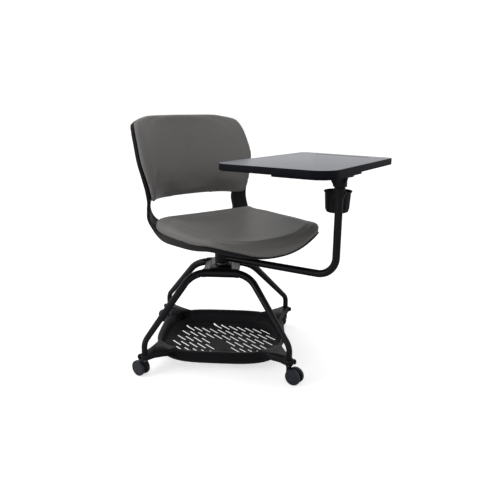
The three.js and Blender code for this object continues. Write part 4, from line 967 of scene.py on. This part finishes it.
class CHAIR_OT_shell(bpy.types.Operator):
    """The one-piece moulding: seat, upright side straps, back and the opening between"""

    bl_idname = "chair.shell"
    bl_label = "Seat shell"

    def window(self, sizes):
        """The opening's cutter: a flat outline run through the back of the moulding."""
        half, top_end = sizes.window_half_width, sizes.window_top - sizes.window_sag
        low, side_start = sizes.window_bottom, top_end - WINDOW_SHOULDER
        bend = low + (side_start - low) / 8
        corners = [(half, side_start), (half, bend), (half * 0.97, low), (0, low)]

        def side_at(part):
            """A point on the cubic curve from the shoulder to the middle of the lower edge."""
            left = 1 - part
            weights = (left**3, 3 * left * left * part, 3 * left * part * part, part**3)
            return tuple(sum(w * p[axis] for w, p in zip(weights, corners)) for axis in (0, 1))

        parts = [step / WINDOW_STEPS for step in range(WINDOW_STEPS)]
        sag = sizes.window_sag
        top = [(half * (1 - 2 * part), top_end + 4 * part * (1 - part) * sag) for part in parts]
        right_side = [side_at(part) for part in (*parts, 1)]
        left_side = [(-x, z) for x, z in right_side]
        loop = top + [(-half, top_end)] + left_side + right_side[:-1][::-1]
        bm = bmesh.new()
        # The faces are made one by one, because the cut's outcome depends on their order.
        near, far = ([bm.verts.new((x, y, z)) for x, z in loop] for y in (0, sizes.front + 0.02))
        bm.faces.new(near)
        bm.faces.new(far[::-1])
        for here in range(len(loop)):
            bm.faces.new((near[here - 1], far[here - 1], far[here], near[here]))
        return bm

    def execute(self, context):
        sizes = context.scene.chair_seat
        surface = ShellSurface(sizes)

        def way(end):
            return SHELL_START + (1 - SHELL_START) * (end + 1) / 2

        def upper(end, side):
            return surface.point(way(end), side)

        def under(end, side):
            along = way(end)
            skirt = smooth_step(along, *SKIRT_START) * sizes.seat_rim
            rim = skirt + (sizes.back_rim - skirt) * smooth_step(along, *SKIRT_END)
            wall = sizes.wall * (LIP_SHARE + (1 - LIP_SHARE) * smooth_step(along, *LIP_LENGTH))
            near_edge = max(abs(side) ** RIM_POWER, max(end, 0) ** TOP_RIM_POWER)
            return surface.off(along, side, -wall - rim * near_edge)

        bm = bmesh.new()
        closed_pad(bm, 128, 44, upper, under)
        soften(bm, 0.0012, 50)
        place = upright(sizes.turned)
        shell = finished("seat_shell", bm, "black plastic", "seat", place, 44)
        carve(shell, self.window(sizes), place, 44)
        return {"FINISHED"}


class CHAIR_OT_cushions(bpy.types.Operator):
    """The seat and back cushions: covers blown up over foam by cloth simulation"""

    bl_idname = "chair.cushions"
    bl_label = "Cushions"

    def blow_up(self, piece, sizes):
        """Swell the cover by cloth pressure, only outwards and within the cap."""
        remesh = piece.modifiers.new("remesh", "REMESH")
        remesh.mode = "VOXEL"
        remesh.voxel_size = sizes.voxel
        remesh.use_smooth_shade = True
        settle(piece)
        rest = [(vert.co.copy(), vert.normal.copy()) for vert in piece.data.vertices]
        cloth = piece.modifiers.new("cover", "CLOTH")
        settings = cloth.settings
        settings.quality = 4
        settings.mass = 0.4
        settings.tension_stiffness = 30
        settings.compression_stiffness = 30
        settings.shear_stiffness = 12
        settings.bending_stiffness = 4
        settings.use_pressure = True
        settings.uniform_pressure_force = sizes.pressure
        settings.effector_weights.gravity = 0
        cloth.collision_settings.use_collision = False
        cloth.collision_settings.use_self_collision = False
        scene = bpy.context.scene
        for span in (scene, cloth.point_cache):
            span.frame_start, span.frame_end = 1, CLOTH_FRAMES
        for frame in range(1, CLOTH_FRAMES + 1):
            scene.frame_set(frame)
        settle(piece)
        scene.frame_set(1)
        for vert, (before, outward) in zip(piece.data.vertices, rest):
            moved = vert.co - before
            moved -= outward * min(moved.dot(outward), 0)
            if moved.length > sizes.swell_cap:
                moved = moved.normalized() * sizes.swell_cap
            vert.co = before + moved

    def make(self, sizes, node, shape, gap, fill):
        """One cushion over part of the shell, this far off it."""
        bm = bmesh.new()
        closed_pad(bm, PAD_ROWS, PAD_COLUMNS, shape.upper, lambda *place: shape.under(*place, gap))
        place, name = upright(sizes.turned), node + "_cover"
        piece = finished(node, bm, "leatherette cover", "seat", place, 180, name)
        self.blow_up(piece, sizes)
        smooth = piece.modifiers.new("smooth", "SUBSURF")
        smooth.levels = smooth.render_levels = 1
        settle(piece)
        piece.data.shade_smooth()

    def execute(self, context):
        sizes = context.scene.chair_seat
        surface = ShellSurface(sizes)
        seat = PadShape(surface, (-0.004, 0.418), 1.02, 0, 0, sizes.seat_pad, sizes.seat_roll, True)
        self.make(sizes, "seat_cushion", seat, sizes.pad_gap, 0.7)
        back_span, back_sag, back_corner = (0.613, 1.002), 0.012, 0.03
        back = PadShape(
            surface, back_span, 1.02, back_sag, back_corner, sizes.back_pad, sizes.back_roll, False
        )
        self.make(sizes, "back_cushion", back, 2.7 * sizes.pad_gap, 0.8)
        return {"FINISHED"}


class CHAIR_OT_swing_arm(bpy.types.Operator):
    """The bent arm tube, its collar and the seat's hub above it"""

    bl_idname = "chair.swing_arm"
    bl_label = "Swing arm"

    def execute(self, context):
        sizes = context.scene.chair_arm
        height = middle_of("arm_collar").z
        corners = [
            Vector((0, -sizes.collar_radius * 0.8, height)),
            Vector((0, -sizes.reach, height)),
            Vector((0, -sizes.reach, sizes.post_top)),
        ]
        path = bent_path(corners, [sizes.bend_radius], 24)
        bm = bmesh.new()
        swept_tube(bm, path, lambda point: sizes.tube_radius, 32)
        finished("arm_tube", bm, "coated steel", "arm", upright(sizes.turned), 60)
        for node, radius, body in (
            ("arm_collar", sizes.collar_radius, "arm"),
            ("seat_hub", sizes.seat_hub_radius, "seat"),
        ):
            round_piece(node, radius, 0.0015, 64, "coated steel", body, upright())
        return {"FINISHED"}


class CHAIR_OT_cup_holder(bpy.types.Operator):
    """The ribbed cup beside the post, and its clamp"""

    bl_idname = "chair.cup_holder"
    bl_label = "Cup holder"

    def ribs(self, sizes, cup, bottom, top, place):
        """Upright ribs round the cup, joined to its mesh, clear of the clamp."""
        outer, foot = sizes.cup_top_radius, sizes.cup_bottom_radius
        rib_height = (top - bottom) - 0.018
        lean = Matrix.Rotation(math.atan2(outer - foot, top - bottom), 4, "Y")
        middle = Matrix.Translation(((outer + foot) / 2, 0, (top + bottom) / 2))
        towards_post = math.atan2(-sizes.cup_backset, -sizes.cup_offset)
        bm = bmesh.new()
        bm.from_mesh(cup.data)
        for index in range(sizes.cup_ribs):
            angle = math.tau * index / sizes.cup_ribs
            if abs(math.remainder(angle - towards_post, math.tau)) < sizes.cup_plain:
                continue
            rib = bmesh.ops.create_cube(bm, size=1)["verts"]
            bmesh.ops.scale(bm, verts=rib, vec=(0.0022, 0.0024, rib_height))
            turned = Matrix.Rotation(angle, 4, "Z")
            bmesh.ops.transform(bm, matrix=place @ turned @ middle @ lean, verts=rib)
        bm.to_mesh(cup.data)
        bm.free()

    def execute(self, context):
        sizes = context.scene.chair_arm
        low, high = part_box("cup_holder")
        bottom, top = low.z, high.z
        outer, foot, wall = sizes.cup_top_radius, sizes.cup_bottom_radius, sizes.cup_wall
        lip = outer + sizes.cup_lip
        profile = [
            (0, bottom + 0.0008),
            (foot * 0.6, bottom + 0.0008),
            (foot * 0.66, bottom),
            (foot - 0.006, bottom),
            (foot - 0.0022, bottom + 0.0018),
            (foot - 0.0004, bottom + 0.0060),
            (foot, bottom + 0.0085),
            (outer, top - 0.0078),
            (outer + 0.0012, top - 0.0062),
            (lip - 0.0006, top - 0.0026),
            (lip, top - 0.0012),
            (lip - 0.0006, top - 0.0002),
            (lip - 0.0014, top),
            (lip - wall, top - 0.0007),
            (outer - wall + 0.0008, top - 0.0066),
            (outer - wall, top - 0.0085),
            (foot - wall, bottom + 0.009),
            (foot - wall - 0.003, bottom + 0.0042),
            (foot - 0.009, bottom + wall),
            (0, bottom + wall),
        ]
        bm = bmesh.new()
        spun(bm, profile, 84)
        post = upright(sizes.turned, (0, -sizes.reach, 0))
        place = upright(sizes.turned, (sizes.cup_offset, sizes.cup_backset - sizes.reach, 0))
        cup = finished("cup_holder", bm, "black plastic", "arm", place, 34)
        cutter = bmesh.new()
        below, above, radius = bottom - 0.01, top + 0.01, sizes.post_clearance
        spun(cutter, [(0, below), (radius, below), (radius, above), (0, above)], 48)
        carve(cup, cutter, post, 34)
        self.ribs(sizes, cup, bottom, top, place)
        round_piece("cup_clamp", sizes.clamp_radius, 0.0012, 56, "black plastic", "arm", post)
        return {"FINISHED"}


class CHAIR_OT_tablet(bpy.types.Operator):
    """The writing board with its dark edge band, the plate under it and the bracket on the post"""

    bl_idname = "chair.tablet"
    bl_label = "Tablet"

    def groove(self, sizes, corners):
        """The pen groove's cutter: a round bar laid along the far edge, half into the board."""
        near_end, far_end = (Vector((x, y, sizes.tablet_top)) for x, y in corners[2:])
        along = (far_end - near_end).normalized()
        margin = ((far_end - near_end).y - sizes.groove_length) / 2
        radius = sizes.groove_width / 2
        start = near_end + Vector((-sizes.groove_inset, margin, radius * 0.45))
        bm = bmesh.new()
        stations = [(start, along), (start + along * sizes.groove_length, along)]
        swept_tube(bm, stations, lambda point: radius, 32)
        soften(bm, radius * 0.9, 60, 6)
        return bm

    def execute(self, context):
        sizes = context.scene.chair_arm
        front = -sizes.reach - sizes.tablet_ahead
        corners = [(x, y + front) for x, y in TABLET_CORNERS]
        bottom = sizes.tablet_top - sizes.tablet_thickness
        place = upright(sizes.turned)
        bm = bmesh.new()
        rounded_plate(bm, corners, TABLET_RADII, bottom, sizes.tablet_thickness, 16)
        soften(bm, sizes.tablet_bevel, 50, 4)
        board = finished("tablet_board", bm, "tablet edge", "tablet", place, 30)
        carve(board, self.groove(sizes, corners), place, 30)
        board.data.materials.append(material_of("tablet face"))
        for face in board.data.polygons:
            flat = face.normal.z > 0.9 and face.center.z > sizes.tablet_top - 0.004
            face.material_index = 1 if flat else 0
        plate = softened_copy("tablet_underplate", 0.0008, 40)
        finished("tablet_underplate", plate, "tablet edge", "tablet")
        bracket = softened_copy("tablet_bracket", 0.0010, 40)
        finished("tablet_bracket", bracket, "coated steel", "tablet")
        return {"FINISHED"}


class CHAIR_OT_hardware(bpy.types.Operator):
    """Finishes for the nodes that keep their own shape"""

    bl_idname = "chair.hardware"
    bl_label = "Small pieces"

    def execute(self, context):
        listed = {row["node"]: row["material_slot"] for row in FRAME["record"]["subparts"]}
        finishes = {"coated_steel": "coated steel", "plain_steel": "plain steel"}
        for name, node in NODES.items():
            if node.hide_render:
                continue
            finish = finishes.get(listed[name], "black plastic")
            if name.startswith("cup_"):
                finish = "coated steel"
            if not node.data.materials:
                node.data.materials.append(None)
            for row in node.material_slots:
                row.material = material_of(finish)
        return {"FINISHED"}


class CHAIR_OT_stage(bpy.types.Operator):
    """Pale floor, soft lamps, white surround and the camera"""

    bl_idname = "chair.stage"
    bl_label = "Stage"

    def floor(self, stage, finishes):
        """A wide floor that shows white but keeps the soft shadow."""
        bm = bmesh.new()
        bmesh.ops.create_grid(bm, x_segments=8, y_segments=8, size=14)
        bmesh.ops.translate(bm, verts=bm.verts, vec=SPINDLE_FOOT)
        mesh = bpy.data.meshes.new("floor")
        bm.to_mesh(mesh)
        bm.free()
        floor = bpy.data.objects.new("floor", mesh)
        bpy.context.scene.collection.objects.link(floor)
        material = bpy.data.materials.new("floor")
        material.use_nodes = True
        tree = material.node_tree
        nodes, links = tree.nodes, tree.links
        shader = nodes["Principled BSDF"]
        shader.inputs["Base Color"].default_value = (*finishes.floor, 1)
        shader.inputs["Roughness"].default_value = 0.9
        shader.inputs["Specular IOR Level"].default_value = 0.1
        path = nodes.new("ShaderNodeLightPath")
        seen = computed(tree, "MULTIPLY", path.outputs["Is Camera Ray"], stage.floor_lift)
        glow = nodes.new("ShaderNodeEmission")
        links.new(seen, glow.inputs["Strength"])
        both = nodes.new("ShaderNodeAddShader")
        links.new(shader.outputs[0], both.inputs[0])
        links.new(glow.outputs[0], both.inputs[1])
        links.new(both.outputs[0], nodes["Material Output"].inputs["Surface"])
        mesh.materials.append(material)

    def world(self, stage):
        """Even light from all round, and white where the camera or a reflection sees it."""
        world = bpy.data.worlds.new("surround")
        bpy.context.scene.world = world
        world.use_nodes = True
        tree = world.node_tree
        background = tree.nodes["Background"]
        background.inputs["Color"].default_value = (1, 1, 1, 1)
        rays = tree.nodes.new("ShaderNodeLightPath").outputs
        seen = computed(tree, "MAXIMUM", rays["Is Camera Ray"], rays["Is Glossy Ray"])
        seen = computed(tree, "MAXIMUM", seen, rays["Is Transmission Ray"])
        level = tree.nodes.new("ShaderNodeMapRange")
        level.inputs["To Min"].default_value = stage.dome_light
        level.inputs["To Max"].default_value = 1
        tree.links.new(seen, level.inputs["Value"])
        tree.links.new(level.outputs["Result"], background.inputs["Strength"])

    def lamp(self, name, place, size, power):
        """A large soft lamp, turned to the middle of the chair."""
        data = bpy.data.lights.new(name, "AREA")
        data.shape = "DISK"
        data.size = size
        data.energy = power
        lamp = bpy.data.objects.new(name, data)
        lamp.location = SPINDLE_FOOT + Vector(place)
        towards = Vector((0, 0, 0.5)) - Vector(place)
        lamp.rotation_euler = towards.to_track_quat("-Z", "Y").to_euler()
        bpy.context.scene.collection.objects.link(lamp)

    def execute(self, context):
        scene = context.scene
        stage = scene.chair_stage
        scene.view_settings.view_transform = "Standard"
        self.floor(stage, scene.chair_finishes)
        self.world(stage)
        self.lamp("key_lamp", (-0.7, 0.2, 2.9), 2.2, stage.key_power)
        self.lamp("side_lamp", (-2.4, -1.5, 1.2), 1.8, stage.side_power)
        data = bpy.data.cameras.new("camera")
        data.sensor_width = 36
        data.lens = stage.lens
        data.shift_x = stage.shift_x
        data.shift_y = stage.shift_y
        camera = bpy.data.objects.new("camera", data)
        camera.location = SPINDLE_FOOT + Vector(stage.camera_place)
        camera.rotation_euler = (math.pi / 2 - stage.camera_tilt, 0, stage.camera_turn)
        scene.collection.objects.link(camera)
        scene.camera = camera
        return {"FINISHED"}


OPERATORS = (
    CHAIR_OT_arch_tubes,
    CHAIR_OT_hub,
    CHAIR_OT_bag_tray,
    CHAIR_OT_casters,
    CHAIR_OT_shell,
    CHAIR_OT_cushions,
    CHAIR_OT_swing_arm,
    CHAIR_OT_cup_holder,
    CHAIR_OT_tablet,
    CHAIR_OT_hardware,
    CHAIR_OT_stage,
)


class CHAIR_PT_panel(bpy.types.Panel):
    """Lists the chair's pieces and settings"""

    bl_idname = "CHAIR_PT_panel"
    bl_label = "Student desk chair"
    bl_space_type = "VIEW_3D"
    bl_region_type = "UI"
    bl_category = "Chair"

    def draw(self, context):
        layout = self.layout
        for operator in OPERATORS:
            layout.operator(operator.bl_idname)
        for name in GROUPS:
            box = layout.box()
            settings = getattr(context.scene, name)
            for key in settings.__annotations__:
                box.prop(settings, key, text=key.replace("_", " ").capitalize())


def register():
    """Register the classes and hang their settings on the scene."""
    for group in GROUPS.values():
        bpy.utils.register_class(group)
    for operator in OPERATORS:
        bpy.utils.register_class(operator)
    bpy.utils.register_class(CHAIR_PT_panel)
    for name, group in GROUPS.items():
        setattr(bpy.types.Scene, name, bpy.props.PointerProperty(type=group))


def unregister():
    """Take the settings and classes away again."""
    for name in GROUPS:
        delattr(bpy.types.Scene, name)
    bpy.utils.unregister_class(CHAIR_PT_panel)
    for operator in reversed(OPERATORS):
        bpy.utils.unregister_class(operator)
    for group in GROUPS.values():
        bpy.utils.unregister_class(group)


def main():
    """Build the whole chair."""
    register()
    for operator in OPERATORS:
        group, action = operator.bl_idname.split(".")
        getattr(getattr(bpy.ops, group), action)()


if __name__ == "__main__":
    main()
